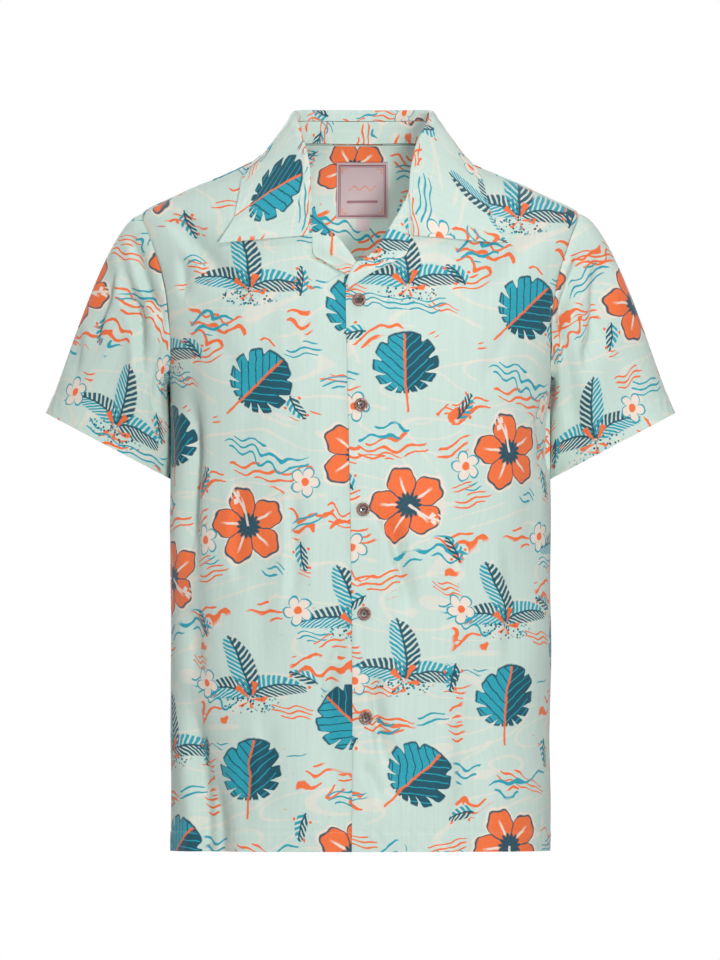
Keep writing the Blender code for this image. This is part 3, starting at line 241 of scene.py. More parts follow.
# ---- curves and grids
def through(stations: Array, values: Array, at: Array) -> Array:
    """Read a smooth curve that doesn't overshoot its values.

    Args:
        stations: Where the values stand, rising or falling.
        values: One row for each station.
        at: The stations asked for, in any shape.

    Returns:
        The values there, in at's shape and then that of a row of values.
    """
    order = np.argsort(stations)
    xs = np.asarray(stations, float)[order]
    ys = np.asarray(values, float)[order]
    shape = (-1,) + (1,) * (ys.ndim - 1)
    steps = np.diff(xs)
    slopes = np.diff(ys, axis=0) / steps.reshape(shape)
    same = slopes[:-1] * slopes[1:] > 0
    products = np.where(same, 2.0 * slopes[:-1] * slopes[1:], 0.0)
    sums = np.where(same, slopes[:-1] + slopes[1:], 1.0)
    tangents = np.concatenate([slopes[:1], products / sums, slopes[-1:]])
    at = np.clip(np.asarray(at, float), xs[0], xs[-1])
    cell = np.clip(np.searchsorted(xs, at, side="right") - 1, 0, len(steps) - 1)
    width = steps[cell].reshape(at.shape + (1,) * (ys.ndim - 1))
    t = (at - xs[cell]).reshape(width.shape) / width
    low, high = (1 - t) ** 2, t * t
    return (ys[cell] * (1 + 2 * t) * low + tangents[cell] * width * t * low
            + ys[cell + 1] * high * (3 - 2 * t) + tangents[cell + 1] * width * high * (t - 1))


def joined(*parts: Array) -> Array:
    """Arrays side by side along a new last axis."""
    return np.stack(parts, axis=-1)


def ease(value: Array, low: float, high: float) -> Array:
    """0 at low, 1 at high, and smooth between."""
    t = np.clip((np.asarray(value, float) - low) / (high - low), 0.0, 1.0)
    return t * t * (3.0 - 2.0 * t)


def bell(value: Array, middle: Array | float, width: float) -> Array:
    """1 at the middle, and 1/e at this width from it."""
    return np.exp(-(((value - middle) / width) ** 2))


def between(low: Array, high: Array, share: Array) -> Array:
    """Low where the share is 0, high where it is 1, and a mix of both between."""
    return low * (1.0 - share) + high * share


def unit(vectors: Array) -> Array:
    """The vectors at length 1."""
    return vectors / np.maximum(np.linalg.norm(vectors, axis=-1, keepdims=True), 1e-12)


def closer_at_ends(count: int, pull: float = 0.7) -> Array:
    """Shares from 0 to 1 that stand closer together near both ends."""
    even = np.linspace(0.0, 1.0, count + 1)
    return even - pull * np.sin(math.tau * even) / math.tau


def grid_normals(grid: Array, around: bool = False) -> Array:
    """Normals of a grid of points, whose columns may close on themselves.

    Args:
        grid: Points in rows and columns.
        around: True if the columns close on themselves.

    Returns:
        A normal for each point.
    """
    if around:
        across = np.roll(grid, -1, axis=1) - np.roll(grid, 1, axis=1)
    else:
        across = np.gradient(grid, axis=1)
    return unit(np.cross(across, np.gradient(grid, axis=0)))


def run_length(grid: Array, axis: int, keep: Sequence[int] = (0, 1, 2)) -> Array:
    """Distance along one axis of a grid from its first row or column.

    Args:
        grid: Points in rows and columns.
        axis: 0 to run along the columns, 1 to run along the rows.
        keep: Which of x, y and z count.

    Returns:
        A distance for each point of the grid.
    """
    steps = np.linalg.norm(np.diff(grid[..., list(keep)], axis=axis), axis=-1)
    start = np.zeros_like(np.take(grid[..., 0], [0], axis=axis))
    return np.concatenate([start, np.cumsum(steps, axis=axis)], axis=axis)


def from_edge(grid: Array, edge: str) -> Array:
    """Distance of each point of a grid from its low, high, first or last edge.

    Args:
        grid: Points in rows and columns.
        edge: The edge's name.

    Returns:
        A distance for each point.
    """
    run = run_length(grid, 0 if edge in ("low", "high") else 1)
    if edge == "high":
        return run[-1:] - run
    if edge == "last":
        return run[:, -1:] - run
    return run


def crease_depth(place: Array, creases: Sequence[tuple], slow_side: float) -> Array:
    """How far narrow creases draw the cloth in, between the slight ridges that they push up.

    Args:
        place: The x and z of each point.
        creases: For each, the places that it passes through, its half width and its depth.
            A half width below 0 turns the crease's slow side about.
        slow_side: 1 if the cloth comes back slowly on the side of larger x, and -1 if not.

    Returns:
        A depth for each point.
    """
    total = np.zeros(place.shape[:-1])
    for stops, half_width, depth in creases:
        numbers = np.arange(len(stops), dtype=float)
        line = through(numbers, np.array(stops), np.linspace(0.0, numbers[-1], 5 * len(stops)))
        runs = np.concatenate([[0.0], np.cumsum(np.linalg.norm(np.diff(line, axis=0), axis=-1))])
        turned = math.copysign(slow_side, slow_side * half_width)
        away = np.full(total.shape, np.inf)
        at, slow = np.zeros(total.shape), np.zeros(total.shape)
        for low, high, run in zip(line, line[1:], runs):
            way = high - low
            share = np.clip((place - low) @ way / (way @ way), 0.0, 1.0)
            off = place - low - share[..., None] * way
            distance = np.linalg.norm(off, axis=-1)
            nearer = distance < away
            away = np.where(nearer, distance, away)
            at = np.where(nearer, run + share * np.linalg.norm(way), at)
            slow = np.where(nearer, turned * (way[0] * off[..., 1] - way[1] * off[..., 0]), slow)
        end = CREASE_FADE * runs[-1]
        fade = ease(at, 0.0, end) * (1.0 - ease(at, runs[-1] - end, runs[-1]))
        far = away / abs(half_width) / np.where(slow > 0, CREASE_SLOW_SIDE, 1.0)
        profile = bell(far, 0.0, 1.0) - CREASE_RIDGE * bell(far, 0.0, CREASE_RIDGE_WIDTH)
        total += CREASE_DEPTH * depth / (1.0 - CREASE_RIDGE) * profile * fade
    return total


def sew(grid: Array, edges: Sequence[str], dip: float = 0.0007) -> Array:
    """Sink a panel's sewn edges and pucker the cloth beside them.

    Args:
        grid: Points of the panel.
        edges: The sewn edges, as from_edge names them.
        dip: How far the cloth sinks at the seam.

    Returns:
        How far each point moves along its normal.
    """
    move = np.zeros(grid.shape[:2])
    for number, edge in enumerate(edges):
        away = from_edge(grid, edge)
        along = run_length(grid, 1 if edge in ("low", "high") else 0)
        pucker = np.sin(along * 520.0 + number) * np.sin(along * 149.0 + 2.0 * number)
        move -= dip * bell(away, 0.0, SEAM_DIP_WIDTH)
        move += PUCKER_HEIGHT * pucker * bell(away, PUCKER_REACH, PUCKER_REACH)
    return move


def hem(away: Array, along: Array, depth: float) -> Array:
    """Height of a turned hem with its stitched groove and slight roping.

    Args:
        away: Distance from the hem's edge.
        along: Distance along it.
        depth: Depth of the turning, which is where the stitches run.

    Returns:
        How far each point moves out.
    """
    inside = ease(depth + HEM_EDGE - away, 0.0, HEM_EDGE)
    rope = np.sin(along * 430.0 + away * 260.0) * np.sin(along * 61.0)
    return (HEM_STEP * inside - HEM_GROOVE * bell(away, depth, HEM_GROOVE_WIDTH)
            + HEM_ROPING * rope * inside * (away > HEM_EDGE))


# ---- the form
@dataclass
class BodyForm:
    """The form that the body's panels lie on, as an angle round it and a height."""

    armhole_top: float = 90.0
    front_reach: float = 28.0
    back_reach: float = 26.0
    wander: float = 0.0007
    search_turn: float = 1.5
    search_rise: float = 0.0025

    def bare(self, angle: Array, z: Array) -> Array:
        """Points without folds at these angles and heights.

        Args:
            angle: Angle round the body in degrees, 0 in front and 90 at the wearer's left.
            z: Height.

        Returns:
            The points.
        """
        angle, z = np.broadcast_arrays(np.asarray(angle, float), np.asarray(z, float))
        half, side_y, front_y, back_y, fullness = np.moveaxis(
            through(SECTIONS[:, 0], SECTIONS[:, 1:], z), -1, 0
        )
        power = 2.0 / fullness
        across, along = np.sin(np.radians(angle)), np.cos(np.radians(angle))
        x = half * np.sign(across) * np.abs(across) ** power
        reach = np.where(along > 0, front_y, back_y) - side_y
        return joined(x, side_y + reach * np.abs(along) ** power, z)

    def normals(self, angle: Array, z: Array) -> Array:
        """Outward normals of the bare form.

        Args:
            angle: Angle round the body in degrees, 0 in front and 90 at the wearer's left.
            z: Height.

        Returns:
            A normal for each point.
        """
        turn, rise = 0.4, 0.0008
        around = self.bare(angle + turn, z) - self.bare(angle - turn, z)
        return unit(np.cross(around, self.bare(angle, z + rise) - self.bare(angle, z - rise)))

    def front_angle(self, x: Array, z: Array) -> Array:
        """The angle on the front at which the form has this x.

        Args:
            x: Place across the body.
            z: Height.

        Returns:
            The angle in degrees.
        """
        row = through(SECTIONS[:, 0], SECTIONS[:, 1:], z)
        share = np.clip(np.abs(x) / row[..., 0], 0.0, 1.0)
        return np.degrees(np.arcsin(share ** (row[..., 4] / 2.0))) * np.sign(x)

    def fold_depth(self, points: Array, front: Array) -> Array:
        """How far the folds draw the cloth in.

        Args:
            points: Points on the bare form.
            front: True for the points on its front half.

        Returns:
            A depth for each point.
        """
        total = np.zeros(points.shape[:-1])
        for folds, mine in ((FRONT_FOLDS, front), (BACK_FOLDS, ~front)):
            for top_x, top_z, low_x, low_z, half_width, depth in folds:
                share = np.clip((points[..., 2] - top_z) / (low_z - top_z), -0.35, 1.35)
                middle = top_x + (low_x - top_x) * share
                near = bell(points[..., 0], middle, half_width)
                fade = ease(share, -0.3, 0.3) * (1.0 - ease(share, 0.7, 1.3))
                total += np.where(mine, depth * near * fade, 0.0)
        total += np.where(front, crease_depth(points[..., [0, 2]], FRONT_CREASES, LEFT), 0.0)
        x, y, z = np.moveaxis(points, -1, 0)
        soft = np.sin(34 * x + 11 * z + 1.0) * np.sin(23 * z - 9 * x) + 0.6 * np.sin(
            71 * x - 17 * y + 2.0) * np.sin(41 * z + 13 * y + 0.5)
        return total + self.wander * soft

    def points(self, angle: Array, z: Array, lift: Array | float = 0.0) -> Array:
        """Points on the folded body, moved out by lift.

        Args:
            angle: Angle round the body in degrees, 0 in front and 90 at the wearer's left.
            z: Height.
            lift: How far out the points move.

        Returns:
            The points.
        """
        angle, z = np.broadcast_arrays(np.asarray(angle, float), np.asarray(z, float))
        points = self.bare(angle, z)
        move = np.asarray(lift) - self.fold_depth(points, np.cos(np.radians(angle)) > 0)
        return points + self.normals(angle, z) * move[..., None]

    def armhole(self, turn: Array) -> tuple[Array, Array]:
        """Angle and height of the left armhole, turn degrees from its top over the front.

        Args:
            turn: Turn round the armhole in degrees.

        Returns:
            The angles and the heights.
        """
        turn = np.radians(np.asarray(turn, float))
        z = (SHOULDER_TIP_Z + UNDERARM_Z + (SHOULDER_TIP_Z - UNDERARM_Z) * np.cos(turn)) / 2.0
        drop = (SHOULDER_TIP_Z - z) / (SHOULDER_TIP_Z - UNDERARM_Z)
        middle = self.armhole_top + (SIDE_SEAM_ANGLE - self.armhole_top) * drop
        reach = np.where(np.sin(turn) > 0, self.front_reach, self.back_reach)
        return middle - reach * np.sin(turn), z

    def shoulder_turn(self) -> float:
        """The turn at which the armhole meets the shoulder seam.

        Returns:
            The turn in degrees.
        """
        turns = np.linspace(0.0, 90.0, 9001)
        angles, _ = self.armhole(turns)
        return float(turns[np.argmax(angles <= SHOULDER_SEAM_ANGLE)])

    def yoke_turn(self) -> float:
        """The turn at which the armhole meets the yoke's back seam.

        Returns:
            The turn in degrees.
        """
        middle = (SHOULDER_TIP_Z + UNDERARM_Z) / 2.0
        half = (SHOULDER_TIP_Z - UNDERARM_Z) / 2.0
        return 360.0 - math.degrees(math.acos((YOKE_SEAM_Z - middle) / half))

    def search_tree(self, angles: Pair, heights: Pair) -> tuple:
        """A search tree of the folded form's points, with the points and their normals.

        Args:
            angles: Lowest and highest angle.
            heights: Lowest and highest point.

        Returns:
            The tree, the points and the normals.
        """
        angle, z = np.meshgrid(np.arange(*angles, self.search_turn),
                               np.arange(*heights, self.search_rise))
        points = self.points(angle, z).reshape(-1, 3)
        tree = KDTree(len(points))
        for place, point in enumerate(points):
            tree.insert(point, place)
        tree.balance()
        return tree, points, self.normals(angle, z).reshape(-1, 3)


def keep_clear(grid: Array, clearance: Array | float, form: tuple, highest: float = 1.0) -> Array:
    """Move points that are too near the form out to a clearance.

    Args:
        grid: Points of the piece.
        clearance: Least height over the form, for each point or for all.
        form: What BodyForm.search_tree returns.
        highest: Points above this height stay.

    Returns:
        The moved grid.
    """
    tree, points, normals = form
    moved = grid.reshape(-1, 3).copy()
    least = np.broadcast_to(clearance, grid.shape[:-1]).reshape(-1)
    for place, point in enumerate(moved):
        if point[2] > highest:
            continue
        _, nearest, _ = tree.find(point)
        height = float(np.dot(point - points[nearest], normals[nearest]))
        if height < least[place]:
            moved[place] = point + normals[nearest] * (least[place] - height)
    return moved.reshape(grid.shape)


# ---- node helpers
Number = "Field | float"


class Field:
    """A number that changes over a surface, worked out by Math nodes."""

    def __init__(self, tree: Tree, socket: Socket) -> None:
        """Hold a node's output socket as a number."""
        self.tree, self.socket = tree, socket

    def math(self, operation: str, *others: Number, clamp: bool = False) -> "Field":
        """Add one Math node whose first value is this number.

        Args:
            operation: The node's operation.
            clamp: True to keep the result from 0 to 1.
            others: The values that follow this one.

        Returns:
            The node's result.
        """
        node = self.tree.nodes.new("ShaderNodeMath")
        node.operation, node.use_clamp = operation, clamp
        for place, value in enumerate((self, *others)):
            feed(self.tree, node.inputs[place], value)
        return Field(self.tree, node.outputs[0])

    def __add__(self, other: Number) -> "Field":
        """The sum."""
        return self.math("ADD", other)

    def __sub__(self, other: Number) -> "Field":
        """The difference."""
        return self.math("SUBTRACT", other)

    def __rsub__(self, other: float) -> "Field":
        """A plain number less this one."""
        return self.math("MULTIPLY", -1.0).math("ADD", other)

    def __mul__(self, other: Number) -> "Field":
        """The product."""
        return self.math("MULTIPLY", other)

    def __truediv__(self, other: Number) -> "Field":
        """The quotient."""
        return self.math("DIVIDE", other)

    def __abs__(self) -> "Field":
        """The size without its sign."""
        return self.math("ABSOLUTE")

    __radd__, __rmul__ = __add__, __mul__

    def sin(self) -> "Field":
        """The sine."""
        return self.math("SINE")

    def cos(self) -> "Field":
        """The cosine."""
        return self.math("COSINE")

    def below(self, limit: Number, soft: float = 0.02) -> "Field":
        """1 where this number is below the limit, with an edge this soft."""
        return ((limit - self) * (1.0 / soft)).math("ADD", 0.5, clamp=True)

    def above(self, limit: Number, soft: float = 0.02) -> "Field":
        """1 where this number is above the limit, with an edge this soft."""
        return ((self - limit) * (1.0 / soft)).math("ADD", 0.5, clamp=True)

    def from_half(self) -> "Field":
        """How far its fraction is from a half: 0 in the middle of each step of 1."""
        return abs(self.math("FRACT") - 0.5)

    def times(self, *others: Number) -> "Field":
        """The product with several numbers.

        Args:
            others: The values that follow this one.

        Returns:
            The product.
        """
        result = self
        for other in others:
            result = result * other
        return result


class ShaderGroup:
    """A shader node group that is made once and used in several materials."""

    def __init__(self, name: str, inputs: dict[str, object], outputs: dict[str, str]) -> None:
        """Make the group's sockets.

        Args:
            name: Name of the group.
            inputs: A default for each input: a number, a colour, or None for a vector.
            outputs: The kind of each output.
        """
        self.tree = bpy.data.node_groups.new(name, "ShaderNodeTree")
        for label, default in inputs.items():
            kind = {type(None): "Vector", float: "Float", tuple: "Color"}[type(default)]
            socket = self.tree.interface.new_socket(
                label, in_out="INPUT", socket_type=f"NodeSocket{kind}")
            if default is not None:
                socket.default_value = default
        for label, kind in outputs.items():
            self.tree.interface.new_socket(label, in_out="OUTPUT", socket_type=f"NodeSocket{kind}")
        self.entry = self.tree.nodes.new("NodeGroupInput")
        self.exit = self.tree.nodes.new("NodeGroupOutput")

    def node(self, kind: str, **sockets: object) -> bpy.types.Node:
        """Add a node and set or link its inputs, with _ for a space in their names."""
        return add_node(self.tree, kind, **sockets)

    def split(self, vector: Socket) -> tuple[Field, Field]:
        """The first two parts of a vector, as numbers."""
        node = self.node("ShaderNodeSeparateXYZ", Vector=vector)
        return Field(self.tree, node.outputs[0]), Field(self.tree, node.outputs[1])

    def field(self, kind: str, **sockets: object) -> Field:
        """Add a node as node() does, and give its first output as a number."""
        return Field(self.tree, self.node(kind, **sockets).outputs[0])

    def paint(self, under: Socket, over: object, mask: Field) -> Socket:
        """Lay one colour over another where the mask is 1."""
        return mix_colours(self.tree, under, over, mask)

    def give(self, label: str, value: object) -> None:
        """Link a number or a colour to one of the group's outputs."""
        feed(self.tree, self.exit.inputs[label], value)


def feed(tree: Tree, target: Socket, value: object) -> None:
    """Link a Field or a socket to an input, or set the input to a plain value.

    Args:
        tree: The tree that the input is in.
        target: The input.
        value: What it gets.
    """
    if isinstance(value, Field):
        value = value.socket
    if isinstance(value, Socket):
        tree.links.new(value, target)
    else:
        target.default_value = value


def mix_colours(tree: Tree, under: object, over: object, share: object) -> Socket:
    """Lay one colour over another.

    Args:
        tree: The tree that the node goes into.
        under: The lower colour.
        over: The upper colour.
        share: How much of the upper one shows.

    Returns:
        The mixed colour.
    """
    node = tree.nodes.new("ShaderNodeMix")
    node.data_type = "RGBA"
    for place, value in ((MIX_SHARE, share), (MIX_UNDER, under), (MIX_OVER, over)):
        feed(tree, node.inputs[place], value)
    return node.outputs[MIX_COLOUR]


def add_node(tree: Tree, kind: str, **sockets: object) -> bpy.types.Node:
    """Add a node and set or link its inputs.

    Args:
        tree: The tree that it goes into.
        kind: Blender's name for the node's type.
        sockets: A value or a socket to link for each input, with _ for a space in its name.

    Returns:
        The node.
    """
    node = tree.nodes.new(kind)
    for label, value in sockets.items():
        feed(tree, node.inputs[label.replace("_", " ")], value)
    return node


class Surface:
    """A new material with its node tree and its shader."""

    def __init__(self, name: str) -> None:
        """Make a material of this name."""
        self.made = bpy.data.materials.new(name)
        self.made.use_nodes = True
        self.tree = self.made.node_tree
        self.shader = self.tree.nodes["Principled BSDF"]

    def group(self, group: ShaderGroup) -> bpy.types.Node:
        """Add a node group that reads the cloth's flat place.

        Args:
            group: The group.

        Returns:
            The group's node.
        """
        place = self.tree.nodes.new("ShaderNodeUVMap")
        place.uv_map = FLAT_MAP
        node = self.tree.nodes.new("ShaderNodeGroup")
        node.node_tree = group.tree
        self.tree.links.new(place.outputs[0], node.inputs["Vector"])
        return node

    def noise(self, **sockets: float) -> Socket:
        """A noise that reads object coordinates."""
        place = self.tree.nodes.new("ShaderNodeTexCoord").outputs["Object"]
        return add_node(self.tree, "ShaderNodeTexNoise", Vector=place, **sockets).outputs[0]

    def bump(self, height: Socket, strength: float, distance: float, **sockets: object) -> Socket:
        """Normals that lean with a height."""
        return add_node(self.tree, "ShaderNodeBump", Height=height, Strength=strength,
                        Distance=distance, **sockets).outputs[0]

    def ramp(self, share: Socket, *stops: tuple[float, Colour]) -> Socket:
        """Colours for a share, from places and colours: the lowest, the highest, then others.

        Args:
            share: A number from 0 to 1.
            stops: A place and a colour for each stop.

        Returns:
            The colour.
        """
        node = add_node(self.tree, "ShaderNodeValToRGB", Fac=share)
        elements = node.color_ramp.elements
        for number, (place, colour) in enumerate(stops):
            stop = elements.new(place) if number > 1 else elements[number]
            stop.position, stop.color = place, colour
        return node.outputs[0]

    def finished(self, **sockets: object) -> Material:
        """Set or link the shader's inputs, with _ for a space, and give the material.

        Args:
            sockets: A value or a socket for each input.

        Returns:
            The material.
        """
        for label, value in sockets.items():
            feed(self.tree, self.shader.inputs[label.replace("_", " ")], value)
        return self.made


# ---- finishes
@dataclass(frozen=True)
class Inks:
    """The print's colours, in linear light."""

    ground: Colour = (0.585, 0.722, 0.658, 1.0)
    orange: Colour = (0.900, 0.165, 0.040, 1.0)
    turquoise: Colour = (0.012, 0.350, 0.455, 1.0)
    navy: Colour = (0.012, 0.085, 0.125, 1.0)
    cream: Colour = (0.840, 0.740, 0.640, 1.0)


@dataclass(frozen=True)
class TropicalPrint:
    """A repeating print of flowers, leaves and loose brush lines, in cloth metres."""

    inks: Inks = Inks()
    cell: Pair = (0.122, 0.148)
    flower: float = 0.044
    leaf: float = 0.050
    frond: float = 0.062
    blossom: float = 0.017
    sprig: float = 0.030
    line_step: float = 0.0078
    wobble: float = 0.0016

    def group(self) -> ShaderGroup:
        """Build the node group that gives the print's colour at a place on the cloth.

        Returns:
            The group, with outputs for the colour and for where ink lies.
        """
        inks = self.inks
        group = ShaderGroup(
            "tropical_print",
            {"Vector": None, "Ground": inks.ground, "Orange": inks.orange,
             "Turquoise": inks.turquoise, "Navy": inks.navy, "Cream": inks.cream},
            {"Color": "Color", "Ink": "Float"},
        )
        entry = group.entry.outputs
        hand = group.node("ShaderNodeTexNoise", Vector=entry["Vector"], Scale=95.0, Detail=1.0)
        shift = group.node("ShaderNodeSeparateColor", Color=hand.outputs["Color"])
        u, v = group.split(entry["Vector"])
        u = u + (Field(group.tree, shift.outputs[0]) - 0.5) * (2.0 * self.wobble)
        v = v + (Field(group.tree, shift.outputs[1]) - 0.5) * (2.0 * self.wobble)
        brush = group.field("ShaderNodeTexNoise", Vector=entry["Vector"], Scale=420.0, Detail=2.0)

        column, row, p, q, hash_a, hash_b = self.cells(group, u, v, self.cell, 5.0)
        kind = (column + row * 2.0).math("FLOORED_MODULO", 3.0)
        here = (p * p + q * q).math("SQRT")
        halo = here.above(0.052, 0.004)

        colour = entry["Ground"]
        ink = None
        layers = self.brush_lines(group, u, v, entry["Vector"], halo)
        flower = self.hibiscus(p, q, hash_a)
        leaf = self.split_leaf(p, q, hash_b)
        fronds = self.frond_fan(group, entry["Vector"], p, q, hash_a)
        for number, motif in enumerate((flower, fronds, leaf)):
            mine = (abs(kind - float(number))).below(0.5, 0.1)
            layers += [(name, mask * mine) for name, mask in motif]
        small = ((self.little_blossom, 0.22, 9.0), (self.little_sprig, 0.72, 13.0))
        for motif, drop, seed in small:
            _, _, p, q, pick, _ = self.cells(
                group, u + self.cell[0] / 2.0, v + self.cell[1] * drop, self.cell, seed)
            layers += motif(p, q, pick)
        for name, mask in layers:
            worn = mask * (0.90 + 0.16 * brush).math("MINIMUM", 1.0)
            colour = group.paint(colour, entry[name], worn)
            if name != "Cream":
                ink = mask if ink is None else ink.math("MAXIMUM", mask)
        group.give("Color", colour)
        group.give("Ink", ink)
        return group

    def cells(self, group: ShaderGroup, u: Field, v: Field, size: Pair,
              seed: float) -> tuple[Field, ...]:
        """Divide the cloth into cells in a half-drop repeat.

        Args:
            group: The group that is being made.
            u: Place across the cloth.
            v: Place along it.
            size: Width and height of a cell.
            seed: Picks the set of hashes.

        Returns:
            Column, row, place from the cell's middle, and two numbers from 0 to 1 for each cell.
        """
        column = (u * (1.0 / size[0])).math("FLOOR")
        dropped = v + column * (size[1] * 0.5)
        row = (dropped * (1.0 / size[1])).math("FLOOR")
        place = group.node("ShaderNodeCombineXYZ", Z=seed)
        for number, (value, repeat) in enumerate(((column, 4.0), (row, 6.0))):
            group.tree.links.new(value.math("FLOORED_MODULO", repeat).socket, place.inputs[number])
        noise = group.node("ShaderNodeTexWhiteNoise", Vector=place.outputs[0])
        parts = group.node("ShaderNodeSeparateColor", Color=noise.outputs["Color"])
        a, b, c = (Field(group.tree, parts.outputs[number]) for number in range(3))
        p = u - (column + 0.5) * size[0] + (b - 0.5) * 0.014
        q = dropped - (row + 0.5) * size[1] + (c - 0.5) * 0.020
        return column, row, p, q, a, b

    @staticmethod
    def turned(p: Field, q: Field, angle: Number, scale: float) -> tuple[Field, Field]:
        """A place in axes turned by an angle, in units of scale.

        Args:
            p: Place across the motif, from its middle.
            q: Place up it.
            angle: How far the axes turn, in radians.
            scale: The size that is to count as 1.

        Returns:
            The place along the turned axes.
        """
        if isinstance(angle, Field):
            cosine, sine = angle.cos(), angle.sin()
        else:
            cosine, sine = math.cos(angle), math.sin(angle)
        size = 1.0 / scale
        return (p * cosine + q * sine) * size, (q * cosine - p * sine) * size

    @staticmethod
    def polar(p: Field, q: Field) -> tuple[Field, Field]:
        """The distance and the angle of a place from the middle."""
        return (p * p + q * q).math("SQRT"), q.math("ARCTAN2", p)

    @staticmethod
    def blade(along: Field, half_width: float) -> Field:
        """The reach of a leaf on each side of its rib, from its foot at 0 to its tip at 1."""
        return (along * (1.0 - along)).math("MAXIMUM", 0.0).math("SQRT") * half_width

    def hibiscus(self, p: Field, q: Field, pick: Field) -> Layers:
        """A five-petalled open flower with a long stamen.

        Args:
            p: Place across the motif, from its middle.
            q: Place up it.
            pick: The motif's own number from 0 to 1.

        Returns:
            The layers from the lowest up.
        """
        p, q = self.turned(p, q, pick * 6.28, self.flower)
        radius, angle = self.polar(p, q)
        petal = abs((angle * 2.5).cos())
        rim = 0.56 + 0.40 * petal.math("POWER", 0.75) + 0.028 * (angle * 15.0).sin()
        inside = radius.below(rim, 0.03)
        outline = abs(radius - rim).below(0.028, 0.03)
        creases = (petal * radius).below(0.040, 0.03) * radius.above(0.16) * inside
        stroke = abs((angle * 2.5).sin()) * radius
        light = stroke.below(0.075, 0.04) * radius.above(0.30, 0.06) * radius.below(0.66, 0.2)
        throat = radius.below(0.24 + 0.10 * abs((angle * 7.5).sin()), 0.04)
        stamen = abs(q - 0.22 * p * p).below(0.032, 0.02).times(p.above(0.0), p.below(0.92))
        tip = ((p * 17.0).sin() * (q * 26.0).sin()).above(0.1, 0.2).times(
            abs(q - 0.16).below(0.12), p.above(0.60), p.below(0.96))
        return [("Cream", radius.below(rim + 0.10, 0.05)), ("Orange", inside), ("Cream", light),
                ("Navy", creases), ("Navy", outline), ("Navy", throat), ("Cream", stamen),
                ("Cream", tip)]

    def split_leaf(self, p: Field, q: Field, pick: Field) -> Layers:
        """A broad leaf with slits, dark on one side of its midrib.

        Args:
            p: Place across the motif, from its middle.
            q: Place up it.
            pick: The motif's own number from 0 to 1.

        Returns:
            The layers from the lowest up.
        """
        p, q = self.turned(p, q, 0.6 + pick * 2.2, self.leaf)
        radius, angle = self.polar(p, q)
        slit = (angle * 13.0).cos().math("MAXIMUM", 0.0).math("POWER", 3.0)
        rim = 0.66 + 0.30 * angle.cos() - 0.26 * slit * abs(angle.sin())
        inside = radius.below(rim, 0.03)
        outline = abs(radius - rim).below(0.024, 0.03)
        veins = ((p - abs(q) * 0.9) * 4.6).from_half().below(0.075, 0.06)
        veins = veins.times(inside, abs(q).below(0.62))
        dark = q.below(-0.01)
        rib = abs(q).below(0.026).times(p.above(-0.80), p.below(0.93))
        return [("Turquoise", inside), ("Navy", inside * dark), ("Navy", veins * (1.0 - dark)),
                ("Turquoise", veins * dark), ("Navy", outline), ("Orange", rib)]

    def frond_fan(self, group: ShaderGroup, vector: Socket, p: Field, q: Field,
                  pick: Field) -> Layers:
        """Three curved feathery fronds from one foot, with pebbles under it.

        Args:
            group: The group that is being made.
            vector: The cloth's flat place.
            p: Place across the motif, from its middle.
            q: Place up it.
            pick: The motif's own number from 0 to 1.

        Returns:
            The layers from the lowest up.
        """
        layers: Layers = []
        base_q = q + 0.040
        for lean, bend, length in ((2.55, 0.55, 0.90), (0.60, -0.55, 0.90), (1.57, 0.25, 1.05)):
            along, side = self.turned(p, base_q, lean + (pick - 0.5) * 0.25, self.frond * length)
            side = side - bend * along * along
            comb = ((along - abs(side) * 0.75) * 11.0).from_half().below(0.30, 0.12)
            leaflets = abs(side).below(self.blade(along, 0.50), 0.03).times(
                comb, along.above(0.02), along.below(0.97))
            upper = side.above(0.0)
            stem = abs(side).below(0.020).times(along.above(0.0), along.below(1.0))
            layers += [("Turquoise", leaflets * upper), ("Navy", leaflets * (1.0 - upper)),
                       ("Navy", stem)]
        bed = (p * p * 900.0 + (q + 0.050) * (q + 0.050) * 9000.0)
        tuft = abs(((q.math("ADD", 0.045)).math("ARCTAN2", p) * 2.6).sin()).below(0.45, 0.2)
        foot = (p * p * 2600.0 + base_q * base_q * 4200.0).below(1.0, 0.1)
        layers.append(("Orange", foot * tuft))
        for name, size, limit in (("Navy", 235.0, 0.30), ("Turquoise", 190.0, 0.26)):
            cell = group.node("ShaderNodeTexVoronoi", Vector=vector, Scale=size)
            speck = Field(group.tree, cell.outputs["Distance"]).below(limit, 0.08)
            layers.append((name, speck * bed.below(1.0, 0.5)))
        return layers

    def little_blossom(self, p: Field, q: Field, pick: Field) -> Layers:
        """A small pale blossom with an orange middle, in about two cells of three.

        Args:
            p: Place across the motif, from its middle.
            q: Place up it.
            pick: The motif's own number from 0 to 1.

        Returns:
            The layers from the lowest up.
        """
        shown = pick.above(0.32, 0.01)
        p, q = self.turned(p, q, pick * 9.0, self.blossom)
        radius, angle = self.polar(p, q)
        rim = 0.42 + 0.55 * abs((angle * 2.5 + radius * 0.8).cos()).math("POWER", 0.6)
        return [("Cream", radius.below(rim, 0.06) * shown),
                ("Turquoise", abs(radius - rim).below(0.06, 0.05) * shown),
                ("Orange", radius.below(0.26, 0.06) * shown)]

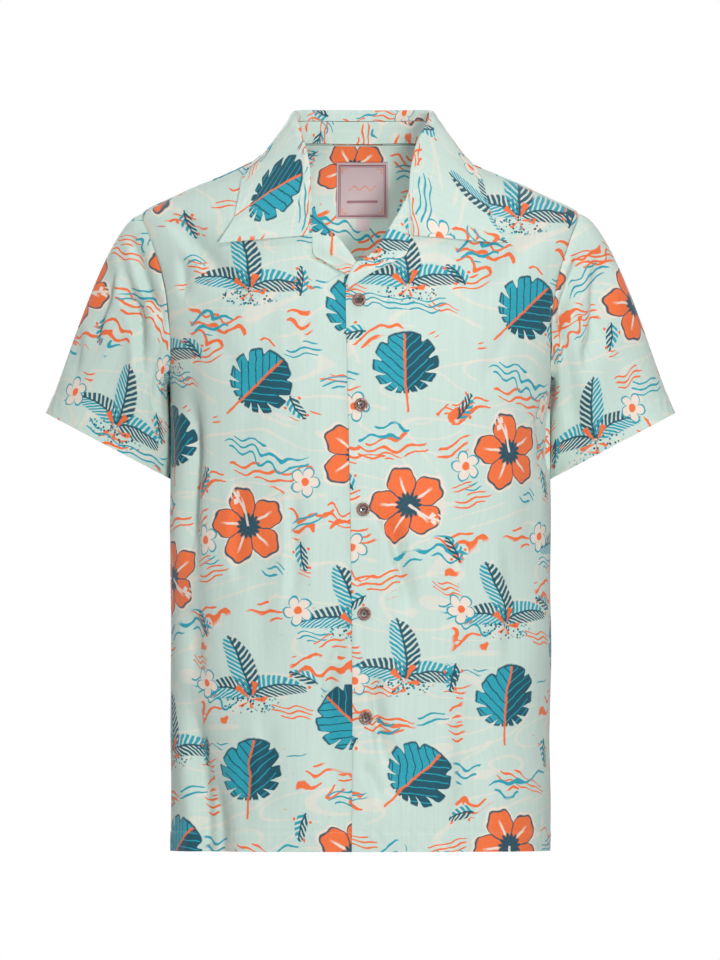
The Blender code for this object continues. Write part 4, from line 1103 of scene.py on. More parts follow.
    def little_sprig(self, p: Field, q: Field, pick: Field) -> Layers:
        """A small curved sprig of narrow leaves with three berries.

        Args:
            p: Place across the motif, from its middle.
            q: Place up it.
            pick: The motif's own number from 0 to 1.

        Returns:
            The layers from the lowest up.
        """
        layers: Layers = []
        along, side = self.turned(p, q, pick * 5.0, self.sprig)
        along = along + 0.5
        side = side - 0.35 * along * along + 0.12
        shown = along.above(0.0) * along.below(1.0)
        pulse = abs((along * 15.0 - abs(side) * 14.0).sin())
        leaves = abs(side).below(self.blade(along, 0.52), 0.04) * pulse.above(0.62, 0.15) * shown
        upper = side.above(0.0)
        layers += [("Navy", leaves * upper), ("Turquoise", leaves * (1.0 - upper)),
                   ("Navy", abs(side).below(0.032, 0.03) * shown)]
        for x, y in ((0.18, 0.30), (0.42, -0.34), (0.86, 0.22)):
            away = (along - x) * (along - x) + (side - y) * (side - y)
            layers.append(("Orange", away.below(0.0034, 0.001)))
        return layers

    def brush_lines(self, group: ShaderGroup, u: Field, v: Field, vector: Socket,
                    halo: Field) -> Layers:
        """Loose broken lines that wander between the motifs, each ink from its own noise.

        Args:
            group: The group that is being made.
            u: Place across the cloth.
            v: Place along it.
            vector: The cloth's flat place.
            halo: 1 where no large motif lies.

        Returns:
            The layers from the lowest up.
        """
        layers = []
        for seed, scale, width, gap in ((0.31, 9.0, 0.019, 0.47), (0.83, 13.0, 0.018, 0.48)):
            field, rough = self.wander(group, vector, seed, scale * 0.62, scale * 1.5)
            line = (field * 7.0).from_half().below(width * 3.5, 0.03)
            layers.append(("Cream", line * rough.above(gap, 0.02) * 0.5))
        for name, seed, spacing, thick, gap in (
            ("Orange", 1.7, 0.054, 0.00145, 0.470), ("Orange", 5.2, 0.078, 0.00130, 0.500),
            ("Turquoise", 2.9, 0.064, 0.00130, 0.490),
        ):
            field, rough = self.wander(group, vector, seed, 11.0, 17.0, 0.62)
            curl = (u * 190.0 + field * 22.0).sin() * (u * 47.0 + v * 60.0 + seed).sin()
            line = v + (field - 0.5) * 0.105 + curl * 0.0036
            away = (line * (1.0 / spacing)).from_half() * spacing
            swell = (0.55 + 0.8 * (rough - gap) * 8.0).math("MINIMUM", 1.0) * thick
            mask = away.below(swell, 0.0004) * rough.above(gap, 0.008)
            beside = abs(away - self.line_step).below(swell * 0.85, 0.0004)
            second = beside * rough.above(gap + 0.055, 0.008)
            layers.append((name, mask.math("MAXIMUM", second) * halo))
        return layers

    def wander(self, group: ShaderGroup, vector: Socket, seed: float, across: float,
               along: float, bend_scale: float = 1.0) -> tuple[Field, Field]:
        """Two soft noises of the cloth's flat place, one to bend a line and one to break it.

        Args:
            group: The group that is being made.
            vector: The cloth's flat place.
            seed: Picks the noises.
            across: Their scale across the cloth.
            along: Their scale along it.
            bend_scale: Scale of the first noise on top of that.

        Returns:
            The noise that bends and the noise that breaks.
        """
        place = group.node("ShaderNodeMapping", Vector=vector, Location=(seed, seed * 1.7, seed),
                           Scale=(across, along, 1.0))
        bend = group.field("ShaderNodeTexNoise", Vector=place.outputs[0], Scale=bend_scale,
                           Detail=0.6, Roughness=0.35)
        gaps = group.field("ShaderNodeTexNoise", Vector=place.outputs[0], Scale=1.7, Detail=0.0)
        return bend, gaps


@dataclass(frozen=True)
class Weave:
    """The plain weave of a light cotton with fine upright slubs."""

    thread: float = 0.00042
    slub: float = 0.0030

    def group(self) -> ShaderGroup:
        """Build the node group that gives the weave's height, shade and slubs.

        Returns:
            The group, with outputs for the height and the shade.
        """
        group = ShaderGroup("slub_weave", {"Vector": None, "Thread": self.thread},
                            {"Height": "Float", "Shade": "Float"})
        entry = group.entry.outputs
        u, v = group.split(entry["Vector"])
        pitch = Field(group.tree, entry["Thread"])
        over = (u / pitch * math.pi).sin() * (v / pitch * math.pi).sin()
        streaks = []
        for seed, long, wide in ((0.0, 26.0, 1.0), (4.0, 9.0, 0.35)):
            stretch = group.node("ShaderNodeMapping", Vector=entry["Vector"],
                                 Location=(seed, seed, 0.0),
                                 Scale=(wide / self.slub, wide / (self.slub * long), 1.0))
            streaks.append(group.field(
                "ShaderNodeTexNoise", Vector=stretch.outputs[0], Scale=1.0, Detail=2.0))
        slubs = (streaks[0] - 0.5) * 0.7 + (streaks[1] - 0.5) * 0.6
        group.give("Height", 0.5 + 0.25 * over + slubs * 0.9)
        group.give("Shade", 1.0 + slubs * 0.16 + over * 0.03)
        return group


class Side(Enum):
    """Which face of the printed cloth a material shows."""

    FACE = "face"
    REVERSE = "reverse"


@dataclass(frozen=True)
class ClothFinish:
    """The printed cotton, on its face or on its paler reverse."""

    roughness: float = 0.80
    ink_gloss: float = 0.06
    sheen: float = 0.22
    crumple_height: float = 0.0022
    weave_height: float = 0.00022
    reverse_ground: Colour = (0.540, 0.680, 0.620, 1.0)
    reverse_share: float = 0.80

    def material(self, side: Side, print_group: ShaderGroup, weave: ShaderGroup) -> Material:
        """Build the material.

        Args:
            side: The face or the reverse.
            print_group: The print's node group.
            weave: The weave's node group.

        Returns:
            The material.
        """
        surface = Surface(f"printed_cotton_{side.value}")
        ink, cloth = surface.group(print_group), surface.group(weave)
        colour = ink.outputs["Color"]
        if side is Side.REVERSE:
            colour = mix_colours(surface.tree, colour, self.reverse_ground, self.reverse_share)
        shade = surface.tree.nodes.new("ShaderNodeVectorMath")
        shade.operation = "SCALE"
        feed(surface.tree, shade.inputs[0], colour)
        feed(surface.tree, shade.inputs["Scale"], cloth.outputs["Shade"])
        crumple = surface.bump(surface.noise(Scale=55.0, Detail=3.0, Roughness=0.55), 0.35,
                               self.crumple_height)
        return surface.finished(
            Base_Color=shade.outputs[0],
            Normal=surface.bump(cloth.outputs["Height"], 0.5, self.weave_height, Normal=crumple),
            Roughness=Field(surface.tree, ink.outputs["Ink"]) * -self.ink_gloss + self.roughness,
            Sheen_Weight=self.sheen, Sheen_Roughness=0.5, Specular_IOR_Level=0.25)


@dataclass(frozen=True)
class LabelFinish:
    """A woven label: mauve, with a double border and corner marks, and nothing written on it."""

    ground: Colour = (0.550, 0.420, 0.435, 1.0)
    border: Colour = (0.200, 0.020, 0.050, 1.0)
    corner: Colour = (0.720, 0.250, 0.110, 1.0)
    roughness: float = 0.62
    rib_height: float = 0.00015

    def material(self, name: str, half_width: float, half_height: float,
                 bordered: bool) -> Material:
        """Build the material for a label of this size, whose UV map starts at its middle.

        Args:
            name: Name of what is made.
            half_width: Half the label's width.
            half_height: Half its height.
            bordered: True for the large label with its border.

        Returns:
            The material.
        """
        group = ShaderGroup(f"{name}_weave", {"Vector": None, "Ground": self.ground,
                                              "Border": self.border, "Corner": self.corner},
                            {"Color": "Color", "Height": "Float"})
        entry = group.entry.outputs
        u, v = group.split(entry["Vector"])
        ribs = (v * 5200.0).sin() * 0.5 + (u * 9000.0).sin() * 0.3
        colour = entry["Ground"]
        if bordered:
            inset = (half_width - abs(u)).math("MINIMUM", half_height - abs(v))
            outer = abs(inset - 0.0026).below(0.0005, 0.0003)
            inner = abs(inset - 0.0042).below(0.00035, 0.0003)
            colour = group.paint(colour, entry["Border"], outer.math("MAXIMUM", inner))
            far_u = half_width - abs(u)
            far_v = half_height - abs(v)
            near_corner = (far_u + far_v).below(0.0190, 0.0004)
            bracket = near_corner * abs(inset - 0.0066).below(0.0006, 0.0003)
            colour = group.paint(colour, entry["Corner"], bracket)
            bar = abs(v + 0.0125).below(0.0016, 0.0004) * abs(u).below(half_width * 0.60, 0.0006)
            wave = abs(v - 0.0030 - 0.0022 * (u * 520.0).sin()).below(0.0007, 0.0004)
            wave = wave * abs(u).below(half_width * 0.55, 0.0008)
            colour = group.paint(colour, entry["Border"], bar * 0.7)
            colour = group.paint(colour, entry["Corner"], wave)
        group.give("Color", colour)
        group.give("Height", ribs)
        surface = Surface(name)
        woven = surface.group(group)
        return surface.finished(
            Base_Color=woven.outputs["Color"], Roughness=self.roughness, Sheen_Weight=0.3,
            Normal=surface.bump(woven.outputs["Height"], 0.6, self.rib_height))


@dataclass(frozen=True)
class ShellFinish:
    """Polished coconut shell, mottled pinkish brown."""

    dark: Colour = (0.070, 0.028, 0.020, 1.0)
    middle: Colour = (0.240, 0.120, 0.095, 1.0)
    light: Colour = (0.480, 0.320, 0.270, 1.0)
    fleck_height: float = 0.0002

    def material(self, name: str) -> Material:
        """Build the material, whose flecks read object coordinates.

        Args:
            name: Name of what is made.

        Returns:
            The material.
        """
        surface = Surface(name)
        flecks = surface.noise(Scale=520.0, Detail=4.0, Roughness=0.6)
        return surface.finished(
            Base_Color=surface.ramp(flecks, (0.34, self.dark), (0.66, self.light),
                                    (0.47, self.middle)),
            Normal=surface.bump(flecks, 0.3, self.fleck_height),
            Roughness=Field(surface.tree, flecks) * 0.35 + 0.22, Coat_Weight=0.25)


@dataclass(frozen=True)
class ThreadFinish:
    """Sewing thread of one colour with its twist."""

    colour: Colour
    roughness: float = 0.6
    shadow: float = 0.72
    twist_height: float = 0.0001

    def material(self, name: str) -> Material:
        """Build the material.

        Args:
            name: Name of what is made.

        Returns:
            The material.
        """
        surface = Surface(name)
        twist = surface.noise(Scale=2600.0, Detail=1.0)
        dark = tuple(self.shadow * part for part in self.colour[:3]) + (1.0,)
        return surface.finished(
            Base_Color=surface.ramp(twist, (0.0, dark), (1.0, self.colour)),
            Normal=surface.bump(twist, 0.5, self.twist_height),
            Roughness=self.roughness, Sheen_Weight=0.2)


class Wardrobe:
    """All the finishes, each made once."""

    def __init__(self) -> None:
        """Make every material that the shirt uses."""
        print_group, weave = TropicalPrint().group(), Weave().group()
        cloth = ClothFinish()
        self.face = cloth.material(Side.FACE, print_group, weave)
        self.reverse = cloth.material(Side.REVERSE, print_group, weave)
        self.outer_cloth = (self.face, self.reverse)
        self.label = LabelFinish().material("woven_label", 0.0292, 0.0315, True)
        self.tab = LabelFinish(ground=(0.720, 0.580, 0.610, 1.0)).material(
            "woven_tab", 0.0071, 0.0068, False)
        self.shell = ShellFinish().material("coconut_rim")
        self.dish = ShellFinish((0.030, 0.012, 0.009, 1.0), (0.095, 0.042, 0.033, 1.0),
                                (0.210, 0.115, 0.095, 1.0)).material("coconut_dish")
        self.thread = ThreadFinish((0.560, 0.720, 0.650, 1.0)).material("mint_thread")
        self.dark_thread = ThreadFinish((0.030, 0.028, 0.040, 1.0)).material("dark_thread")
        self.label_thread = ThreadFinish((0.330, 0.110, 0.140, 1.0)).material("label_thread")


# ---- cloth pieces
@dataclass
class ClothPiece:
    """One cut piece of cloth, which knows its grid, its flat size and the solid it stands for."""

    name: str
    grid: Array
    flat_place: Array
    cut: Pair
    cut_area: float
    materials: tuple[Material, Material]
    around: bool = False
    thickness: float = WALL
    slot: str = "printed_cloth"
    outward: Point = BODY_CENTRE
    rows: list[Array] = field(default_factory=list)

    def build(self) -> Object:
        """Returns:
            The piece.
        """
        rows, columns = self.grid.shape[:2]
        wide = columns if self.around else columns - 1
        low = np.arange(rows - 1)[:, None] * columns + np.arange(wide)[None, :]
        ahead = np.arange(rows - 1)[:, None] * columns + (np.arange(wide)[None, :] + 1) % columns
        faces = joined(low, ahead, ahead + columns, low + columns).reshape(-1, 4)
        flat_columns = self.flat_place.shape[1]
        flat_low = np.arange(rows - 1)[:, None] * flat_columns + np.arange(wide)[None, :]
        flat_faces = joined(flat_low, flat_low + 1, flat_low + 1 + flat_columns,
                            flat_low + flat_columns).reshape(-1, 4)
        points = self.grid.reshape(-1, 3)
        corners = points[faces]
        normals = np.cross(corners[:, 2] - corners[:, 0], corners[:, 3] - corners[:, 1])
        if np.sum(normals * (corners.mean(axis=1) - np.array(self.outward))) < 0:
            faces, flat_faces = faces[:, ::-1], flat_faces[:, ::-1]
        mesh = bpy.data.meshes.new(self.name)
        mesh.from_pydata(points.tolist(), [], faces.tolist())
        layer = mesh.uv_layers.new(name=FLAT_MAP)
        layer.data.foreach_set("uv", self.flat_place.reshape(-1, 2)[flat_faces.reshape(-1)].ravel())
        for material in self.materials:
            mesh.materials.append(material)
        mesh.shade_smooth()
        obj = add_object(f"{self.name}_cut", mesh)
        wall = obj.modifiers.new("wall", "SOLIDIFY")
        wall.thickness, wall.offset = self.thickness, 0.0
        wall.use_even_offset, wall.use_rim = False, True
        wall.material_offset, wall.material_offset_rim = 1, 0
        piece = baked(obj, f"{self.name}_cloth")
        piece.data.set_sharp_from_angle(angle=math.radians(50.0))
        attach(piece, "root")
        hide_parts(self.name)
        LOG.info("%s: %d points", piece.name, len(points))
        return piece

    def stitch_line(self, line: Array, normals: Array) -> None:
        """Keep a line of stitches that lies on the outer face."""
        self.rows.append(line + normals * (self.thickness / 2.0 + THREAD_STAND_OFF))


def add_object(name: str, data: bpy.types.ID) -> Object:
    """Make an object of some data, and link it to the scene.

    Args:
        name: Name of the object.
        data: Its mesh, light or camera.

    Returns:
        The object.
    """
    obj = bpy.data.objects.new(name, data)
    bpy.context.scene.collection.objects.link(obj)
    return obj


def baked(obj: Object, name: str) -> Object:
    """Apply an object's modifiers into a plain mesh object.

    Args:
        obj: The object, which is removed.
        name: Name of the new object.

    Returns:
        The new object.
    """
    graph = bpy.context.evaluated_depsgraph_get()
    mesh = bpy.data.meshes.new_from_object(obj.evaluated_get(graph))
    mesh.name = name
    bpy.data.objects.remove(obj, do_unlink=True)
    return add_object(name, mesh)


def outward_normals(grid: Array, centre: Point = BODY_CENTRE) -> Array:
    """Normals of a grid that point away from a centre, on the whole."""
    normals = grid_normals(grid)
    return normals if np.sum(normals * (grid - np.array(centre))) > 0 else -normals


@dataclass
class Body:
    """The two fronts, the back and the yokes."""

    form: BodyForm
    finishes: Wardrobe
    hem_depth: float = 0.022
    columns: int = 150
    back_columns: int = 150
    yoke_density: int = 7
    lapel_foot: float = -0.152
    edge_roll: float = 0.0012
    edge_drop: float = 0.0005
    arm_stitch_inset: float = 0.0060

    def front_lift(self, x: Array, z: Array, side: float) -> Array:
        """How far a front stands off the form where the fronts lie over each other.

        Args:
            x: Place across the body.
            z: Height.
            side: LEFT or RIGHT.

        Returns:
            A height for each point.
        """
        if side == LEFT:
            over = 1.0 - ease(x, 0.018, 0.055)
            lapel = bell(z, self.lapel_foot, 0.020)
            return OVERLAP_STEP / 2.0 * over + OVERLAP_STEP * over * lapel
        return -OVERLAP_STEP / 2.0 * ease(x, -0.055, -0.018)

    def row_stops(self, arm_rows: int) -> Array:
        """Row numbers of a body panel, closer near the hem."""
        return np.concatenate([np.arange(0.0, 0.85, 0.045), np.arange(0.85, SIDE_ROWS, 0.105),
                               np.linspace(SIDE_ROWS, SIDE_ROWS + arm_rows, arm_rows * 4 + 1)])

    def side_height(self, stops: Array) -> Array:
        """Height of the side seam at row numbers up to SIDE_ROWS."""
        return HEM_Z + (UNDERARM_Z - HEM_Z) * np.minimum(stops, SIDE_ROWS) / SIDE_ROWS

    def front_grid(self, side: float) -> tuple[Array, Array]:
        """Points of one front and the row numbers of its rows.

        Args:
            side: LEFT or RIGHT.

        Returns:
            The points and the row numbers.
        """
        left = side == LEFT
        heights = self.side_height(np.arange(SIDE_ROWS + 1.0))
        high_z = np.concatenate([[(UNDERARM_Z + ROLL[0, 0]) / 2.0], ROLL[:, 0]])

        def low_x(z: Array) -> Array:
            """The x of this front's edge, which the right front mirrors about the buttons."""
            edge, button = np.moveaxis(through(FRONT_EDGE[:, 0], FRONT_EDGE[:, 1:], z), -1, 0)
            return edge if left else 2.0 * button - edge

        x = np.concatenate([low_x(heights), low_x(high_z[:1]), ROLL[:, 1 if left else 2]])
        z = np.concatenate([heights, high_z])
        edge_angle = np.append(self.form.front_angle(x, z), SHOULDER_SEAM_ANGLE * side)
        edge_z = np.append(z, -FRONT_NECK_DROP)
        stops = self.row_stops(ARM_ROWS)
        numbers = np.arange(len(edge_z))
        edge = through(numbers, joined(edge_angle, edge_z), stops)
        arm_share = np.clip((stops - SIDE_ROWS) / ARM_ROWS, 0.0, 1.0)
        turns = 180.0 + (self.form.shoulder_turn() - 180.0) * arm_share
        arm_angle, arm_z = self.form.armhole(turns)
        below = stops < SIDE_ROWS
        side_angle = np.where(below, SIDE_SEAM_ANGLE, arm_angle) * side
        side_z = np.where(below, self.side_height(stops), arm_z)
        share = closer_at_ends(self.columns, 0.5)[None, :]
        angle = between(edge[:, :1], side_angle[:, None], share)
        height = between(edge[:, 1:], side_z[:, None], share)
        place = self.form.bare(angle, height)[..., 0]
        return self.form.points(angle, height, self.front_lift(place, height, side)), stops

    def flat_place(self, grid: Array, start: Array, offset: Pair) -> Array:
        """Flat place of a front's points: round the body, and up it with the shoulder's slope.

        Args:
            grid: Points in rows and columns.
            start: Flat place of each row's first point.
            offset: Flat place of the panel's origin.

        Returns:
            A flat place for each point.
        """
        across = run_length(grid, 1, (0, 1)) * np.sign(grid[0, -1, 0] - grid[0, 0, 0]) + start
        slope = ease(grid[..., 2], -0.2, -0.05)
        rise = grid[..., 2] + 0.25 * (grid[..., 1] - grid[:, :1, 1]) * slope
        return joined(across + offset[0], rise + offset[1])

    def dressed(self, grid: Array, edges: Sequence[str]) -> Array:
        """Add the seams' dips and puckers and the turned hem to a panel.

        Args:
            grid: Points in rows and columns.
            edges: The sewn edges, as from_edge names them.

        Returns:
            The moved points.
        """
        normals = outward_normals(grid)
        away = from_edge(grid, "low")
        along = run_length(grid, 1)
        return grid + normals * (sew(grid, edges) + hem(away, along, self.hem_depth))[..., None]

    def front(self, side: float) -> ClothPiece:
        """Make one front.

        Args:
            side: LEFT or RIGHT.

        Returns:
            The piece.
        """
        grid, stops = self.front_grid(side)
        start = grid[:, :1, 0]
        neck = stops > SIDE_ROWS + ARM_ROWS - 5.5
        offset = (0.011, 0.037) if side == LEFT else (0.310, 0.118)
        flat = self.flat_place(grid, start, offset)
        grid = self.dressed(grid, ("last", "high"))
        roll = bell(from_edge(grid, "first"), 0.0, self.edge_roll) * self.edge_drop * ~neck[:, None]
        grid = grid - outward_normals(grid) * roll[..., None]
        name = "front_left" if side == LEFT else "front_right"
        piece = ClothPiece(name, grid, flat, (0.345, 0.790), 0.205, self.finishes.outer_cloth)
        self.stitch_hem(piece)
        normals = outward_normals(grid)
        edge = from_edge(grid, "last")
        rows = np.arange(len(stops))[stops >= SIDE_ROWS]
        places = np.argmin(np.abs(edge[rows] - self.arm_stitch_inset), axis=1)
        piece.stitch_line(grid[rows, places], normals[rows, places])
        return piece

    def stitch_hem(self, piece: ClothPiece) -> None:
        """Keep the line of stitches round a panel's hem.

        Args:
            piece: The panel.
        """
        away = from_edge(piece.grid, "low")
        normals = outward_normals(piece.grid)
        row = int(np.argmin(np.abs(away.mean(axis=1) - self.hem_depth)))
        piece.stitch_line(piece.grid[row], normals[row])

    def back(self) -> ClothPiece:
        """Make the back.

        Returns:
            The piece.
        """
        arm_rows = 10
        stops = self.row_stops(arm_rows)
        share = np.clip((stops - SIDE_ROWS) / arm_rows, 0.0, 1.0)
        arm_angle, arm_z = self.form.armhole(180.0 + (self.form.yoke_turn() - 180.0) * share)
        below = stops < SIDE_ROWS
        side_angle = np.where(below, SIDE_SEAM_ANGLE, arm_angle)[:, None]
        z = np.where(below, self.side_height(stops), arm_z)[:, None]
        across = closer_at_ends(self.back_columns)[None, :]
        angle = between(side_angle, 360.0 - side_angle, across)
        grid = self.form.points(angle, np.broadcast_to(z, angle.shape))
        run = run_length(grid, 1, (0, 1))
        flat = joined(run - run[:, self.back_columns // 2][:, None] + 0.05, grid[..., 2] + 0.021)
        grid = self.dressed(grid, ("first", "last", "high"))
        piece = ClothPiece("back", grid, flat, (0.590, 0.680), 0.365, self.finishes.outer_cloth)
        self.stitch_hem(piece)
        return piece

    def yoke_grid(self, lift: float, density: int) -> Array:
        """Points of a yoke from its back seam and armholes up to the neck.

        Args:
            lift: How far out the points move.
            density: Columns and rows for each step of the solid's yoke.

        Returns:
            The points.
        """
        shoulder, across, rows = 7 * density, 14 * density, 6 * density
        turns = np.linspace(self.form.shoulder_turn(), self.form.yoke_turn() - 360.0, shoulder + 1)
        arm_angle, arm_z = self.form.armhole(turns)
        share = np.linspace(0.0, 1.0, across + 1)[1:-1]
        back = arm_angle[-1] + (360.0 - 2.0 * arm_angle[-1]) * share
        outer_angle = np.concatenate([arm_angle, back, 360.0 - arm_angle[::-1]])
        outer_z = np.concatenate([arm_z, np.full(back.shape, YOKE_SEAM_Z), arm_z[::-1]])
        neck = np.linspace(SHOULDER_SEAM_ANGLE, YOKE_NECK_CORNER, shoulder + 1)
        middle = YOKE_NECK_CORNER + (360.0 - 2.0 * YOKE_NECK_CORNER) * share
        inner_angle = np.concatenate([neck, middle, 360.0 - neck[::-1]])
        front = np.abs(inner_angle - 180.0) / (180.0 - SHOULDER_SEAM_ANGLE)
        inner_z = -FRONT_NECK_DROP * ease(front, 0.90, 1.0)
        up = np.linspace(0.0, 1.0, rows + 1)[::-1, None]
        return self.form.points(between(inner_angle, outer_angle, up),
                                between(inner_z, outer_z, up), lift)

    def yoke_flat(self, grid: Array, offset: Pair) -> Array:
        """Flat place of a yoke's points, on the slope that it lies on."""
        return joined(grid[..., 0] * 1.08 + offset[0],
                      0.55 * grid[..., 2] - 0.90 * grid[..., 1] + offset[1])

    def yoke(self) -> ClothPiece:
        """Make the outer yoke.

        Returns:
            The piece.
        """
        grid = self.yoke_grid(0.0, self.yoke_density)
        flat = self.yoke_flat(grid, (0.073, 0.160))
        normals = outward_normals(grid)
        grid = grid + normals * sew(grid, ("low", "first", "last"))[..., None]
        piece = ClothPiece("yoke", grid, flat, (0.520, 0.230), 0.072, self.finishes.outer_cloth)
        away = from_edge(grid, "low")
        normals = outward_normals(grid)
        columns = np.arange(self.yoke_density * 7, grid.shape[1] - self.yoke_density * 7)
        rows = np.argmin(np.abs(away[:, columns] - STITCH_INSET), axis=0)
        piece.stitch_line(grid[rows, columns], normals[rows, columns])
        return piece

    def inner_yoke(self) -> ClothPiece:
        """Make the inner yoke, which shows its printed face through the neck.

        Returns:
            The piece.
        """
        density = 3
        outer = self.yoke_grid(0.0, density)
        layer = outer - outward_normals(outer) * YOKE_STEP
        grid = np.empty_like(layer)
        rows = np.arange(len(layer), dtype=float)
        for place in range(layer.shape[1]):
            from_end = min(place, layer.shape[1] - 1 - place) / density
            short = 2.0 * density * (1.0 - float(ease(from_end, 7.0, 10.0)))
            grid[:, place] = through(rows, layer[:, place], np.linspace(short, rows[-1], len(rows)))
        return ClothPiece("yoke_inner", grid, self.yoke_flat(grid, (0.19, 0.245)), (0.480, 0.210),
                          0.058, (self.finishes.reverse, self.finishes.face))


@dataclass
class Sleeve:
    """One sleeve, set into its armhole and open at its hem."""

    form: BodyForm
    finishes: Wardrobe
    side: float
    folds: Sequence[tuple[float, ...]]
    creases: Sequence[tuple]
    hem_outer: Pair = (0.3470, -0.2970)
    hem_inner: Pair = (0.2062, -0.3713)
    hem_y: float = 0.024
    hem_half_depth: float = 0.053
    hem_depth: float = 0.024
    head_pucker: float = 0.0005
    straight: float = 0.0024
    clearance: float = 0.0026
    rings: int = 66

    def turns(self) -> Array:
        """Turns round the armhole from the underarm at 180 up the back and down the front.

        Returns:
            The turns in degrees.
        """
        shoulder, seam = self.form.shoulder_turn(), self.form.yoke_turn()
        return np.concatenate([np.linspace(180.0, seam, 52)[:-1],
                               np.linspace(seam, shoulder + 360.0, 52)[:-1],
                               np.linspace(shoulder + 360.0, 540.0, 72)[:-1]])

    def fold_depth(self, grid: Array, turn: Array, along: Array) -> Array:
        """How far the folds and creases draw the sleeve in.

        Args:
            grid: The sleeve's points.
            turn: The turn of each.
            along: The share of the sleeve's length at each.

        Returns:
            A depth for each point.
        """
        total = 0.0007 * np.sin(np.radians(turn * 5.0) + 7.0 * along) * ease(along, 0.0, 0.2)
        for top_turn, top, low_turn, low, half_turn, depth in self.folds:
            share = np.clip((along - top) / (low - top), -0.3, 1.3)
            middle = top_turn + (low_turn - top_turn) * share
            away = (turn - middle + 180.0) % 360.0 - 180.0
            fade = ease(share, -0.15, 0.25) * (1.0 - ease(share, 0.75, 1.25))
            total = total + depth * bell(away, 0.0, half_turn) * fade
        on_front = ease(np.sin(np.radians(turn)), 0.0, 0.25)
        return total + on_front * crease_depth(grid[..., [0, 2]], self.creases, self.side)

    def points(self) -> tuple[Array, Array]:
        """The sleeve's points in rings from armhole to hem, and each ring's share of the length.

        Returns:
            The points and the shares.
        """
        turn = self.turns()
        angle, z = self.form.armhole(turn)
        start = self.form.points(angle, z)
        along_edge = np.roll(start, -1, axis=0) - np.roll(start, 1, axis=0)
        into_hole = unit(np.cross(self.form.normals(angle, z), along_edge))
        facing = np.sum(into_hole * (np.mean(start, axis=0) - start), axis=-1, keepdims=True)
        into_hole *= np.where(facing < 0, -1.0, 1.0)
        out, forward, down, end = np.moveaxis(
            through(SLEEVE_RUNS[:, 0], SLEEVE_RUNS[:, 1:], turn % 360.0), -1, 0)
        run = joined(out, forward, -down)
        bend = np.linalg.norm(np.cross(unit(run), into_hole), axis=-1)
        first = start + into_hole * (SEAM_GAP / 2.0 + WALL * 0.62 * bend)[:, None]
        start = first + unit(run) * self.straight
        outer, inner = np.array(self.hem_outer), np.array(self.hem_inner)
        middle, half = (outer + inner) / 2.0, (outer - inner) / 2.0
        swing = np.cos(np.radians(turn))
        finish = joined(middle[0] + half[0] * swing,
                        self.hem_y - self.hem_half_depth * np.sin(np.radians(turn)),
                        middle[1] + half[1] * swing)
        across = outer - inner
        last = unit(np.array([across[1], 0.0, -across[0]])) * end[:, None]
        share = closer_at_ends(self.rings, 0.6)[:, None, None]
        grid = (start * (1 + 2 * share) * (1 - share) ** 2 + run * share * (1 - share) ** 2
                + finish * share * share * (3 - 2 * share) + last * share * share * (share - 1))
        return np.concatenate([first[None], grid]), np.concatenate([[0.0], share[:, 0, 0]])

    def build(self) -> ClothPiece:
        """Make the sleeve.

        Returns:
            The piece.
        """
        grid, share = self.points()
        around = grid_normals(grid, True)
        if np.sum(around * (grid - grid.mean(axis=1, keepdims=True))) < 0:
            around = -around
        turn = np.broadcast_to(self.turns()[None, :], grid.shape[:2])
        along = np.broadcast_to(share[:, None], grid.shape[:2])
        closed = np.concatenate([grid, grid[:, :1]], axis=1)
        lengths = run_length(closed, 0)
        away = (lengths[-1:] - lengths)[:, :-1]
        ring = run_length(closed, 1)
        pucker = np.sin(ring[:, :-1] * 480.0) * np.sin(ring[:, :-1] * 131.0)
        move = hem(away, ring[:, :-1], self.hem_depth) - self.fold_depth(grid, turn, along)
        move += self.head_pucker * pucker * bell(lengths[:, :-1], 0.010, 0.007)
        grid = grid + around * move[..., None]
        tree = self.form.search_tree((60.0, 125.0), (-0.420, UNDERARM_Z))
        grid[1:] = keep_clear(grid[1:], self.clearance, tree, UNDERARM_Z)
        middle_ring = ring[self.rings // 2]
        flat = joined(np.broadcast_to(middle_ring, closed.shape[:2]), lengths[-1:] - lengths)
        flat = flat + np.array([0.44, 0.31] if self.side == LEFT else [0.09, 0.52])
        if self.side == RIGHT:
            flip = np.array([-1.0, 1.0, 1.0])
            grid, around = (grid * flip)[:, ::-1], (around * flip)[:, ::-1]
            flat = flat[:, ::-1]
        name = "sleeve_left" if self.side == LEFT else "sleeve_right"
        centre = tuple(grid.mean(axis=(0, 1)))
        piece = ClothPiece(name, grid, flat, (0.450, 0.250), 0.083,
                           self.finishes.outer_cloth, around=True, outward=centre)
        row = int(np.argmin(np.abs(away.mean(axis=1) - self.hem_depth)))
        piece.stitch_line(np.concatenate([grid[row], grid[row, :1]]),
                          np.concatenate([around[row], around[row, :1]]))
        return piece


